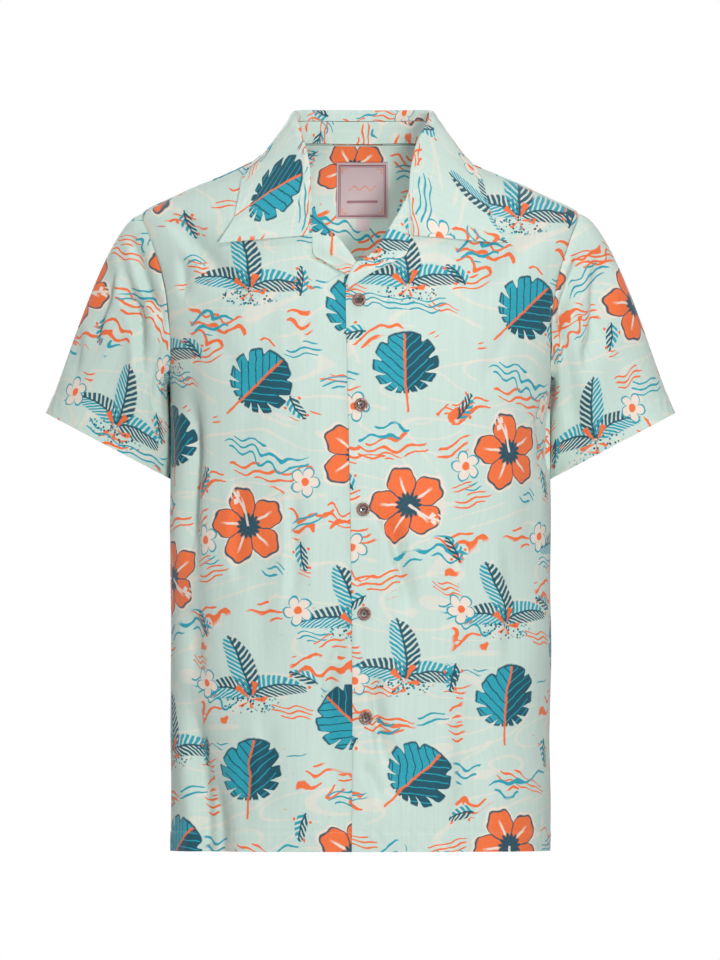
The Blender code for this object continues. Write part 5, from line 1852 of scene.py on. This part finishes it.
@dataclass
class Collar:
    """The camp collar: its stand, its leaf and the two lapels."""

    form: BodyForm
    body: Body
    finishes: Wardrobe
    lapel_stand_off: float = 0.0024
    seam_end: float = 0.93
    stand_end: float = 11.5 / 15.0
    lean: float = 0.003
    point_lift: float = 0.006
    clearance: float = 0.0024
    most_move: float = 0.004
    groove_depth: float = 0.00025
    edge_drop: float = 0.0004
    half_stations: int = 96

    def stations(self) -> Array:
        """Stations from the right end at -1 to the left end at 1."""
        return np.linspace(-1.0, 1.0, 2 * self.half_stations + 1)

    def column(self, number: int, station: Array) -> Array:
        """One column of the collar's table."""
        return through(COLLAR[:, 0], COLLAR[:, number], np.abs(station))

    def line(self, first: int, station: Array) -> Array:
        """The fold line (first column 1) or the edge line (first column 4).

        Args:
            first: Number of the line's first column.
            station: Stations along the collar, from -1 to 1.

        Returns:
            The line's points.
        """
        x, y, z = (self.column(first + axis, station) for axis in range(3))
        held = ease(np.abs(station), 0.45, 0.70) if first == 1 else 0.0
        return joined(x * np.sign(station) + self.lean * (1.0 - held), y, z)

    def neck_seam(self, station: Array) -> Array:
        """Points just inside the neck seam, which the stand rises from.

        Args:
            station: Stations along the collar, from -1 to 1.

        Returns:
            A point for each station.
        """
        points = np.zeros((len(station), 3))
        yoke = self.body.yoke_grid(0.0, 4)[-1]
        behind = yoke[: len(yoke) // 2 + 1][::-1]
        for side in (LEFT, RIGHT):
            grid, stops = self.body.front_grid(side)
            front = grid[stops >= SIDE_ROWS + ARM_ROWS - GORGE_STEPS - 0.01, 0][::-1]
            seam = np.concatenate([behind * np.array([side, 1.0, 1.0]), front[1:]])
            steps = np.linalg.norm(np.diff(seam, axis=0), axis=-1)
            run = np.concatenate([[0.0], np.cumsum(steps)]) / steps.sum()
            mine = (station >= 0) if side == LEFT else (station < 0)
            at = np.minimum(np.abs(station[mine]) / self.seam_end, 1.0)
            points[mine] = np.stack(
                [np.interp(at, run, seam[:, axis]) for axis in range(3)], axis=-1)
        inwards = unit(-points * np.array([1.0, 1.0, 0.0]))
        return points + inwards * 0.0014 + np.array([0.0, 0.0, 0.0006])

    def skeleton(self, station: Array) -> tuple[Array, Array, Array]:
        """The fold, the way down inside it, and the foot of the leaf's inner strip.

        Args:
            station: Stations along the collar, from -1 to 1.

        Returns:
            The fold's points, the directions down and the foot's points.
        """
        fold = self.line(1, station)
        to_seam = unit(self.neck_seam(station) - fold)
        to_lapel = joined(-np.sign(station), 0.0 * station, 0.0 * station)
        turned = ease(np.abs(station), 0.86, self.seam_end)[:, None]
        down = unit(between(to_seam, to_lapel, turned))
        return fold, down, fold + down * self.column(7, station)[:, None]

    def stand(self) -> ClothPiece:
        """Make the stand, cut across the print.

        Returns:
            The piece.
        """
        station = self.stations()
        station = station[np.abs(station) < self.stand_end]
        low = self.neck_seam(station)
        _, down, foot = self.skeleton(station)
        high = foot + down * SEAM_GAP * 2.0
        share = np.linspace(0.0, 1.0, 13)[:, None, None]
        grid = between(low, high, share)
        run, rise = run_length(grid, 1), run_length(grid, 0)
        normals = outward_normals(grid, centre=(0.0, 0.0, 0.02))
        soft = 0.0005 * np.sin(run * 75.0) * np.sin(math.pi * share[..., 0])
        flat = joined(rise + 0.365, run + 0.05)
        return ClothPiece("collar_stand", grid + normals * soft[..., None], flat, (0.400, 0.030),
                          0.0092, (self.finishes.face, self.finishes.face))

    def leaf(self) -> ClothPiece:
        """Make the leaf: up from the stand, over the fold and down to its free edge.

        Returns:
            The piece.
        """
        station = self.stations()
        fold, down, foot = self.skeleton(station)
        edge = self.line(4, station)
        bulge = self.column(8, station)[:, None]
        outwards = unit((edge - fold) * np.array([1.0, 1.0, 0.0]))
        rows = [edge]
        for share in np.linspace(0.0, 1.0, 8)[1:-1]:
            chord = edge + (fold + outwards * bulge - edge) * share
            rows.append(chord - down * bulge * 0.9 * math.sin(math.pi * share) ** 1.5)
        rows += [fold + outwards * bulge * 1.3 + down * bulge * 0.35,
                 fold + outwards * bulge * 0.5 - down * bulge * 0.15,
                 fold + down * bulge * 0.2, foot]
        coarse = np.stack(rows)
        stops = np.concatenate([np.arange(0.0, 1.0, 0.09), np.arange(1.0, 7.0, 0.28),
                                np.linspace(7.0, 10.0, 15)])
        grid = through(np.arange(len(coarse), dtype=float), coarse, stops)
        tip = ease(np.abs(station), 0.80, 1.0)[None, :]
        near_edge = np.clip(1.0 - stops[:, None] / 7.0, 0.0, 1.0) ** 2
        wave = 0.0011 * np.sin(station * 17.0 + 0.7)[None, :] * near_edge
        clearance = self.clearance + self.point_lift * tip * near_edge + wave + 0.0008
        form = self.form.search_tree((0.0, 360.0), (-0.200, 0.003))
        on_body = stops <= 7.0
        grid[on_body] = keep_clear(grid[on_body], np.broadcast_to(
            clearance, grid.shape[:2])[on_body], form)
        share = ease(np.abs(station), 0.77, 0.83)[None, :, None]
        moved = (keep_clear(grid, self.clearance, form) - grid) * share
        far = np.linalg.norm(moved, axis=-1, keepdims=True)
        grid = grid + moved * np.minimum(1.0, self.most_move / np.maximum(far, 1e-9))
        normals = outward_normals(grid)
        away = from_edge(grid, "low")
        groove = bell(away, STITCH_INSET, 0.0014) * self.groove_depth
        roll = bell(away, 0.0, 0.0012) * self.edge_drop
        grid = grid - normals * (groove + roll)[..., None]
        run = run_length(grid, 1)[int(np.argmin(np.abs(stops - 3.0)))]
        flat = joined(np.broadcast_to(run, grid.shape[:2]) + 0.128, away + 0.262)
        piece = ClothPiece("collar_leaf", grid, flat, (0.520, 0.110), 0.046,
                           (self.finishes.face, self.finishes.face))
        places = np.argmin(np.abs(away - STITCH_INSET), axis=0)
        columns = np.arange(grid.shape[1])
        normals = outward_normals(grid)
        piece.stitch_line(grid[places, columns], normals[places, columns])
        return piece

    def lapel(self, table: Array, side: float) -> ClothPiece:
        """Make one lapel, which turns over at the roll line and lies on its front.

        Args:
            table: Its roll line and free edge.
            side: LEFT or RIGHT.

        Returns:
            The piece.
        """
        roll_x, roll_z, edge_x, edge_z = table.T
        share = np.array([0.0, 0.0, 0.0, 0.12, 0.35, 0.65, 1.0])
        reach = np.array([0.0010, 0.0024, 0.0012, 0.0, 0.0, 0.0, 0.0])
        height = np.array([0.1, 0.6, 1.2, 1.35, 1.3, 1.15, 1.0]) * LAYER_STEP * 1.15
        way = unit(joined(roll_x - edge_x, roll_z - edge_z))
        x = roll_x[:, None] + (edge_x - roll_x)[:, None] * share + way[:, :1] * reach
        z = roll_z[:, None] + (edge_z - roll_z)[:, None] * share + way[:, 1:] * reach
        lift = self.body.front_lift(x, z, side) + height
        lift = lift + self.lapel_stand_off * share * share * ease(-z, 0.106, 0.122)
        coarse = joined(x, z, lift)
        down = through(np.arange(len(table), dtype=float), coarse,
                       np.linspace(0.0, len(table) - 1.0, 8 * len(table)))
        fine = through(np.arange(7.0), np.swapaxes(down, 0, 1), np.linspace(0.0, 6.0, 37))
        x, z, lift = np.moveaxis(np.swapaxes(fine, 0, 1), -1, 0)
        grid = self.form.points(self.form.front_angle(x, z), z, lift)
        name = "lapel_left" if side == LEFT else "lapel_right"
        offset = (0.43, 0.66) if side == LEFT else (0.215, 0.387)
        flat = joined(x, z) + np.array(offset)
        return ClothPiece(name, grid, flat, (0.060, 0.095), 0.0027, self.finishes.outer_cloth)


@dataclass
class Labels:
    """The woven label and the size tab inside the back of the neck."""

    form: BodyForm
    finishes: Wardrobe
    label_span: Pair = (-0.0272, 0.0312)
    label_heights: Pair = (-0.0170, -0.0800)
    tab_span: Pair = (-0.0040, 0.0102)
    tab_heights: Pair = (-0.0805, -0.0940)
    wall: float = 0.0010

    def patch(self, name: str, span: Pair, heights: Pair,
              material: Material, count: int) -> ClothPiece:
        """Make one patch of woven tape that lies inside the back.

        Args:
            name: Name of what is made.
            span: Its lowest and highest x.
            heights: The heights of its top and bottom.
            material: Its finish.
            count: Number of its rows and columns.

        Returns:
            The piece.
        """
        x, z = np.meshgrid(np.linspace(*span, count + 1), np.linspace(*heights, count + 1))
        inside = -YOKE_STEP - LAYER_STEP - WALL / 2.0
        soft = 0.0004 * np.sin(x * 210.0) * np.sin(z * 160.0)
        grid = self.form.points(180.0 - self.form.front_angle(x, z), z, inside + soft)
        flat = joined(x - sum(span) / 2.0, z - sum(heights) / 2.0)
        wide, tall = span[1] - span[0], heights[0] - heights[1]
        return ClothPiece(name, grid, flat, (wide * 1.02, tall * 1.05), wide * tall,
                          (material, material), thickness=self.wall, slot="woven_label")

    def build(self) -> list[ClothPiece]:
        """Make the label, stitched along its sides, and the tab.

        Returns:
            The label and the tab.
        """
        label = self.patch("label", self.label_span, self.label_heights, self.finishes.label, 40)
        normals = -outward_normals(label.grid)
        for line in ((2, slice(2, -2)), (slice(2, -2), 2), (slice(2, -2), -3), (-3, slice(2, -2))):
            label.stitch_line(label.grid[line], normals[line])
        tab = self.patch("size_tab", self.tab_span, self.tab_heights, self.finishes.tab, 12)
        return [label, tab]


# ---- buttons, stitches
@dataclass
class Buttons:
    """Five coconut buttons with raised rims and four holes, sewn with dark thread."""

    form: BodyForm
    body: Body
    finishes: Wardrobe
    count: int = 5
    top_z: float = -0.174
    pitch: float = 0.1144
    radius: float = 0.0075
    thickness: float = 0.0030
    hole_reach: float = 0.0017
    hole_radius: float = 0.00085
    dish_share: float = 0.64
    strand: float = 0.00026
    strand_step: float = 0.00022
    turns: tuple[float, ...] = (8.0, 41.0, 22.0, 63.0, 30.0)

    @property
    def hole_place(self) -> float:
        """Distance of each hole from the disc's middle along both of its axes."""
        return self.hole_reach / 1.4

    def disc(self) -> bpy.types.Mesh:
        """A turned disc with a rounded rim and a dished middle, drilled four times.

        Returns:
            The disc at the origin, with its axis along Z.
        """
        r, t = self.radius, self.thickness
        profile = ((0.0, 0.0), (0.70, 0.0), (0.88, 0.10), (0.98, 0.34), (1.0, 0.55), (0.97, 0.80),
                   (0.90, 0.95), (0.82, 1.0), (0.74, 0.95), (0.68, 0.80), (0.62, 0.68),
                   (0.40, 0.62), (0.0, 0.60))
        bm = bmesh.new()
        ring = [bm.verts.new((x * r, 0.0, z * t)) for x, z in profile]
        edges = [bm.edges.new(pair) for pair in zip(ring, ring[1:])]
        bmesh.ops.spin(bm, geom=ring + edges, axis=(0, 0, 1), cent=(0, 0, 0), angle=math.tau,
                       steps=40, use_merge=True)
        bmesh.ops.remove_doubles(bm, verts=bm.verts, dist=1e-6)
        bmesh.ops.recalc_face_normals(bm, faces=bm.faces)
        mesh = bpy.data.meshes.new("button_disc")
        bm.to_mesh(mesh)
        bm.free()
        disc = add_object("button_disc", mesh)
        drill_mesh = bpy.data.meshes.new("button_drill")
        bm = bmesh.new()
        for x, y in ((1, 1), (1, -1), (-1, 1), (-1, -1)):
            bmesh.ops.create_cone(
                bm, cap_ends=True, segments=14, radius1=self.hole_radius, radius2=self.hole_radius,
                depth=3.0 * t,
                matrix=Matrix.Translation((x * self.hole_place, y * self.hole_place, 0)))
        bm.to_mesh(drill_mesh)
        bm.free()
        drill = add_object("button_drill", drill_mesh)
        cut = disc.modifiers.new("holes", "BOOLEAN")
        cut.operation, cut.object, cut.solver = "DIFFERENCE", drill, "EXACT"
        made = baked(disc, "button_drilled")
        bpy.data.objects.remove(drill, do_unlink=True)
        mesh = made.data
        bpy.data.objects.remove(made, do_unlink=True)
        return mesh

    def thread(self) -> bmesh.types.BMesh:
        """The two crossed strands in the button's holes, each of two threads.

        Returns:
            The strands at the origin.
        """
        bm = bmesh.new()
        reach, top = self.hole_place, self.thickness * 0.62
        rise = ((-1.0, top - 0.0012), (-0.95, top - 0.0001), (-0.55, top + 0.00035),
                (0.0, top + 0.00050), (0.55, top + 0.00035), (0.95, top - 0.0001),
                (1.0, top - 0.0012))
        for x, y in ((1, 1), (1, -1)):
            for shift in (-self.strand_step, self.strand_step):
                points = [Vector((x * reach * s + shift * y, y * reach * s - shift * x, z))
                          for s, z in rise]
                add_tube(bm, points, self.strand, 6)
        return bm

    def build(self) -> list[Object]:
        """Make the five buttons and the thread that holds each.

        Returns:
            Each button, followed by its thread.
        """
        disc = self.disc()
        made = []
        for number in range(self.count):
            z = self.top_z - self.pitch * number
            x = float(through(FRONT_EDGE[:, 0], FRONT_EDGE[:, 2], np.array(z)))
            angle, height = self.form.front_angle(np.array(x), np.array(z)), np.array(z)
            lift = self.body.front_lift(np.array(x), height, LEFT) + WALL / 2.0 + SEAM_GAP * 2.0
            centre = Vector(self.form.bare(angle, height) + self.form.normals(angle, height) * lift)
            normal = Vector(self.form.normals(angle, height))
            side = Vector((0.0, 0.0, 1.0)).cross(normal).normalized()
            axes = Matrix((side, normal.cross(side), normal)).transposed().to_4x4()
            place = (Matrix.Translation(centre) @ axes
                     @ Matrix.Rotation(math.radians(self.turns[number]), 4, "Z"))
            mesh = disc.copy()
            mesh.name = f"button_{number + 1}_shell"
            mesh.transform(place)
            mesh.materials.clear()
            mesh.materials.append(self.finishes.shell)
            mesh.materials.append(self.finishes.dish)
            for face in mesh.polygons:
                away = Vector(face.center) - centre
                off_axis = away.cross(normal).length
                face.material_index = int(off_axis < self.dish_share * self.radius)
            mesh.shade_smooth()
            mesh.set_sharp_from_angle(angle=math.radians(40.0))
            button = link_piece(mesh, mesh.name)
            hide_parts(f"button_{number + 1}")
            bm = self.thread()
            bm.transform(place)
            cotton = bpy.data.meshes.new(f"button_{number + 1}_thread")
            bm.to_mesh(cotton)
            bm.free()
            cotton.materials.append(self.finishes.dark_thread)
            cotton.shade_smooth()
            made += [button, link_piece(cotton, cotton.name)]
        return made


def add_tube(bm: bmesh.types.BMesh, points: Sequence[Vector], radius: float, sides: int) -> None:
    """Add a capped tube along a line of points.

    Args:
        bm: The mesh that it goes into.
        points: The tube's middle line.
        radius: Its radius.
        sides: How many sides it has.
    """
    rings = []
    for place, point in enumerate(points):
        way = (points[min(place + 1, len(points) - 1)] - points[max(place - 1, 0)]).normalized()
        side = way.orthogonal().normalized()
        up = way.cross(side)
        rings.append([bm.verts.new(point + (side * math.cos(math.tau * s / sides)
                                            + up * math.sin(math.tau * s / sides)) * radius)
                      for s in range(sides)])
    for low, high in zip(rings, rings[1:]):
        for s in range(sides):
            after = (s + 1) % sides
            bm.faces.new((low[s], low[after], high[after], high[s]))
    bm.faces.new(rings[0][::-1])
    bm.faces.new(rings[-1])
    bmesh.ops.recalc_face_normals(bm, faces=bm.faces)


def link_piece(mesh: bpy.types.Mesh, name: str) -> Object:
    """Put a mesh in the scene as a piece that rides on the shirt.

    Args:
        mesh: The mesh.
        name: Name of what is made.

    Returns:
        The piece.
    """
    obj = add_object(name, mesh)
    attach(obj, "root")
    return obj


@dataclass
class Stitching:
    """Rows of machine stitches, laid along lines by Geometry Nodes."""

    pitch: float = 0.0029
    length: float = 0.0022
    thickness: float = 0.00022

    def tree(self) -> tuple[Tree, dict[str, str]]:
        """Build the node tree once, and give the identifier of each named input.

        Returns:
            The tree and the identifiers.
        """
        tree = bpy.data.node_groups.new("stitch_rows", "GeometryNodeTree")
        tree.interface.new_socket("Geometry", in_out="INPUT", socket_type="NodeSocketGeometry")
        names = {}
        for label in ("Pitch", "Length", "Thickness"):
            names[label] = tree.interface.new_socket(
                label, in_out="INPUT", socket_type="NodeSocketFloat").identifier
        names["Thread"] = tree.interface.new_socket(
            "Thread", in_out="INPUT", socket_type="NodeSocketMaterial").identifier
        tree.interface.new_socket("Geometry", in_out="OUTPUT", socket_type="NodeSocketGeometry")
        entry, leave = tree.nodes.new("NodeGroupInput"), tree.nodes.new("NodeGroupOutput")
        to_curve = add_node(tree, "GeometryNodeMeshToCurve", Mesh=entry.outputs["Geometry"])
        spaced = tree.nodes.new("GeometryNodeResampleCurve")
        spaced.mode = "LENGTH"
        tree.links.new(to_curve.outputs[0], spaced.inputs["Curve"])
        tree.links.new(entry.outputs["Pitch"], spaced.inputs["Length"])
        bead = add_node(tree, "GeometryNodeMeshIcoSphere", Radius=0.5, Subdivisions=1)
        half = tree.nodes.new("ShaderNodeCombineXYZ")
        for axis, label in enumerate(("Thickness", "Thickness", "Length")):
            tree.links.new(entry.outputs[label], half.inputs[axis])
        way = tree.nodes.new("FunctionNodeAlignRotationToVector")
        way.axis = "Z"
        tangent = tree.nodes.new("GeometryNodeInputTangent")
        tree.links.new(tangent.outputs[0], way.inputs["Vector"])
        laid = add_node(tree, "GeometryNodeInstanceOnPoints", Points=spaced.outputs[0],
                        Instance=bead.outputs[0], Rotation=way.outputs[0], Scale=half.outputs[0])
        real = add_node(tree, "GeometryNodeRealizeInstances", Geometry=laid.outputs[0])
        finish = add_node(tree, "GeometryNodeSetMaterial", Geometry=real.outputs[0],
                          Material=entry.outputs["Thread"])
        tree.links.new(finish.outputs[0], leave.inputs[0])
        return tree, names

    def lay(self, name: str, lines: Sequence[Array], thread: Material,
            tree: Tree, names: dict[str, str]) -> Object:
        """Lay stitches along some lines.

        Args:
            name: Name of the piece.
            lines: Each a row of points.
            thread: The thread's material.
            tree: The stitches' node tree.
            names: The identifiers of its inputs.

        Returns:
            The stitches as one piece.
        """
        points, edges = [], []
        for line in lines:
            first = len(points)
            points += line.tolist()
            edges += [(first + place, first + place + 1) for place in range(len(line) - 1)]
        mesh = bpy.data.meshes.new(name)
        mesh.from_pydata(points, edges, [])
        obj = add_object(f"{name}_lines", mesh)
        rows = obj.modifiers.new("stitches", "NODES")
        rows.node_group = tree
        for label, value in (("Pitch", self.pitch), ("Length", self.length),
                             ("Thickness", self.thickness), ("Thread", thread)):
            rows[names[label]] = value
        piece = baked(obj, name)
        piece.data.shade_smooth()
        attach(piece, "root")
        LOG.info("%s: %d stitches", name, len(piece.data.polygons) // 20)
        return piece


# ---- studio
def add_lamp(name: str, place: Sequence[float], aim: Sequence[float], size: float,
             power: float) -> Object:
    """Hang a round soft lamp.

    Args:
        name: Name of the lamp.
        place: Where it hangs.
        aim: The point that it faces.
        size: Its width.
        power: Its power in watts.

    Returns:
        The lamp.
    """
    light = bpy.data.lights.new(name, "AREA")
    light.shape, light.size, light.energy = "DISK", size, power
    lamp = add_object(name, light)
    lamp.location = place
    lamp.rotation_euler = (Vector(aim) - Vector(place)).to_track_quat("-Z", "Y").to_euler()
    return lamp


@dataclass
class Studio:
    """Soft lights and a long lens at the photograph's angle, all on white with no floor."""

    scale: float = 0.0011
    frame_height: int = 960
    distance: float = 30.0
    middle: Pair = (-0.0005, -0.3707)
    sensor: float = 36.0
    aim: Point = (0.0, 0.0, -0.38)
    ambient: float = 0.215
    neck_power: float = 0.046

    def build(self) -> None:
        """Make the lights, the world and the camera."""
        scene = bpy.context.scene
        world = bpy.data.worlds.new("studio")
        world.use_nodes = True
        sky = world.node_tree.nodes["Background"]
        sky.inputs["Color"].default_value = WHITE
        ray = Field(world.node_tree, world.node_tree.nodes.new("ShaderNodeLightPath").outputs[0])
        feed(world.node_tree, sky.inputs["Strength"], ray * (1.0 - self.ambient) + self.ambient)
        scene.world = world
        scene.view_settings.view_transform = "Standard"
        for name, place, size, power in (
            ("front", (0.35, -2.7, -0.35), 0.35, 40.0), ("high", (0.5, -4.2, 1.9), 0.5, 37.0),
            ("right", (3.8, -1.7, 0.3), 0.8, 21.0), ("left", (-3.6, -2.2, 0.4), 1.4, 14.5),
            ("top", (0.2, 0.0, 2.6), 1.6, 31.0), ("back", (-1.3, 4.2, 0.9), 0.8, 104.0),
            ("back_left", (-3.6, 1.6, 0.4), 1.0, 30.0),
        ):
            add_lamp(name, place, self.aim, size, power)
        self.light_neck()
        lens = bpy.data.cameras.new("long_lens")
        lens.sensor_width = self.sensor
        lens.lens = self.sensor * self.distance / (self.frame_height * self.scale)
        lens.clip_end = 100.0
        camera = add_object("long_lens", lens)
        camera.location = (self.middle[0], -self.distance - 0.06, self.middle[1])
        camera.rotation_euler = (math.pi / 2.0, 0.0, 0.0)
        scene.camera = camera

    def light_neck(self) -> None:
        """Light the inside of the back from behind the fronts, as the photograph does."""
        lamp = add_lamp("neck", (0.0, -0.060, -0.175), (0.0, 0.110, -0.050), 0.07, self.neck_power)
        lamp.data.spread = math.radians(100.0)
        lamp.visible_camera = False


def box_of_all() -> list[list[float]]:
    """The lowest and highest corners of the whole object."""
    return [list(corner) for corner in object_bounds()]


def main(cad_box: list[list[float]]) -> None:
    """Dress the shirt.

    Args:
        cad_box: The solids' lowest and highest corners, which are not used.
    """
    logging.basicConfig(level=logging.INFO, format="%(name)s: %(message)s")
    form = BodyForm()
    finishes = Wardrobe()
    body = Body(form, finishes)
    collar = Collar(form, body, finishes)
    pieces = [
        body.front(LEFT), body.front(RIGHT), body.back(), body.yoke(), body.inner_yoke(),
        Sleeve(form, finishes, LEFT, LEFT_SLEEVE_FOLDS, LEFT_SLEEVE_CREASES).build(),
        Sleeve(form, finishes, RIGHT, RIGHT_SLEEVE_FOLDS, RIGHT_SLEEVE_CREASES).build(),
        collar.stand(), collar.leaf(), collar.lapel(LEFT_LAPEL, LEFT),
        collar.lapel(RIGHT_LAPEL, RIGHT), *Labels(form, finishes).build(),
    ]
    stitching = Stitching()
    tree, names = stitching.tree()
    for piece in pieces:
        piece.build()
        if piece.rows:
            woven = piece.slot == "woven_label"
            thread = finishes.label_thread if woven else finishes.thread
            stitching.lay(f"{piece.name}_stitches", piece.rows, thread, tree, names)
    for button in Buttons(form, body, finishes).build():
        LOG.info("%s: %d faces", button.name, len(button.data.polygons))
    Studio().build()


if __name__ == "__main__":
    main(box_of_all())
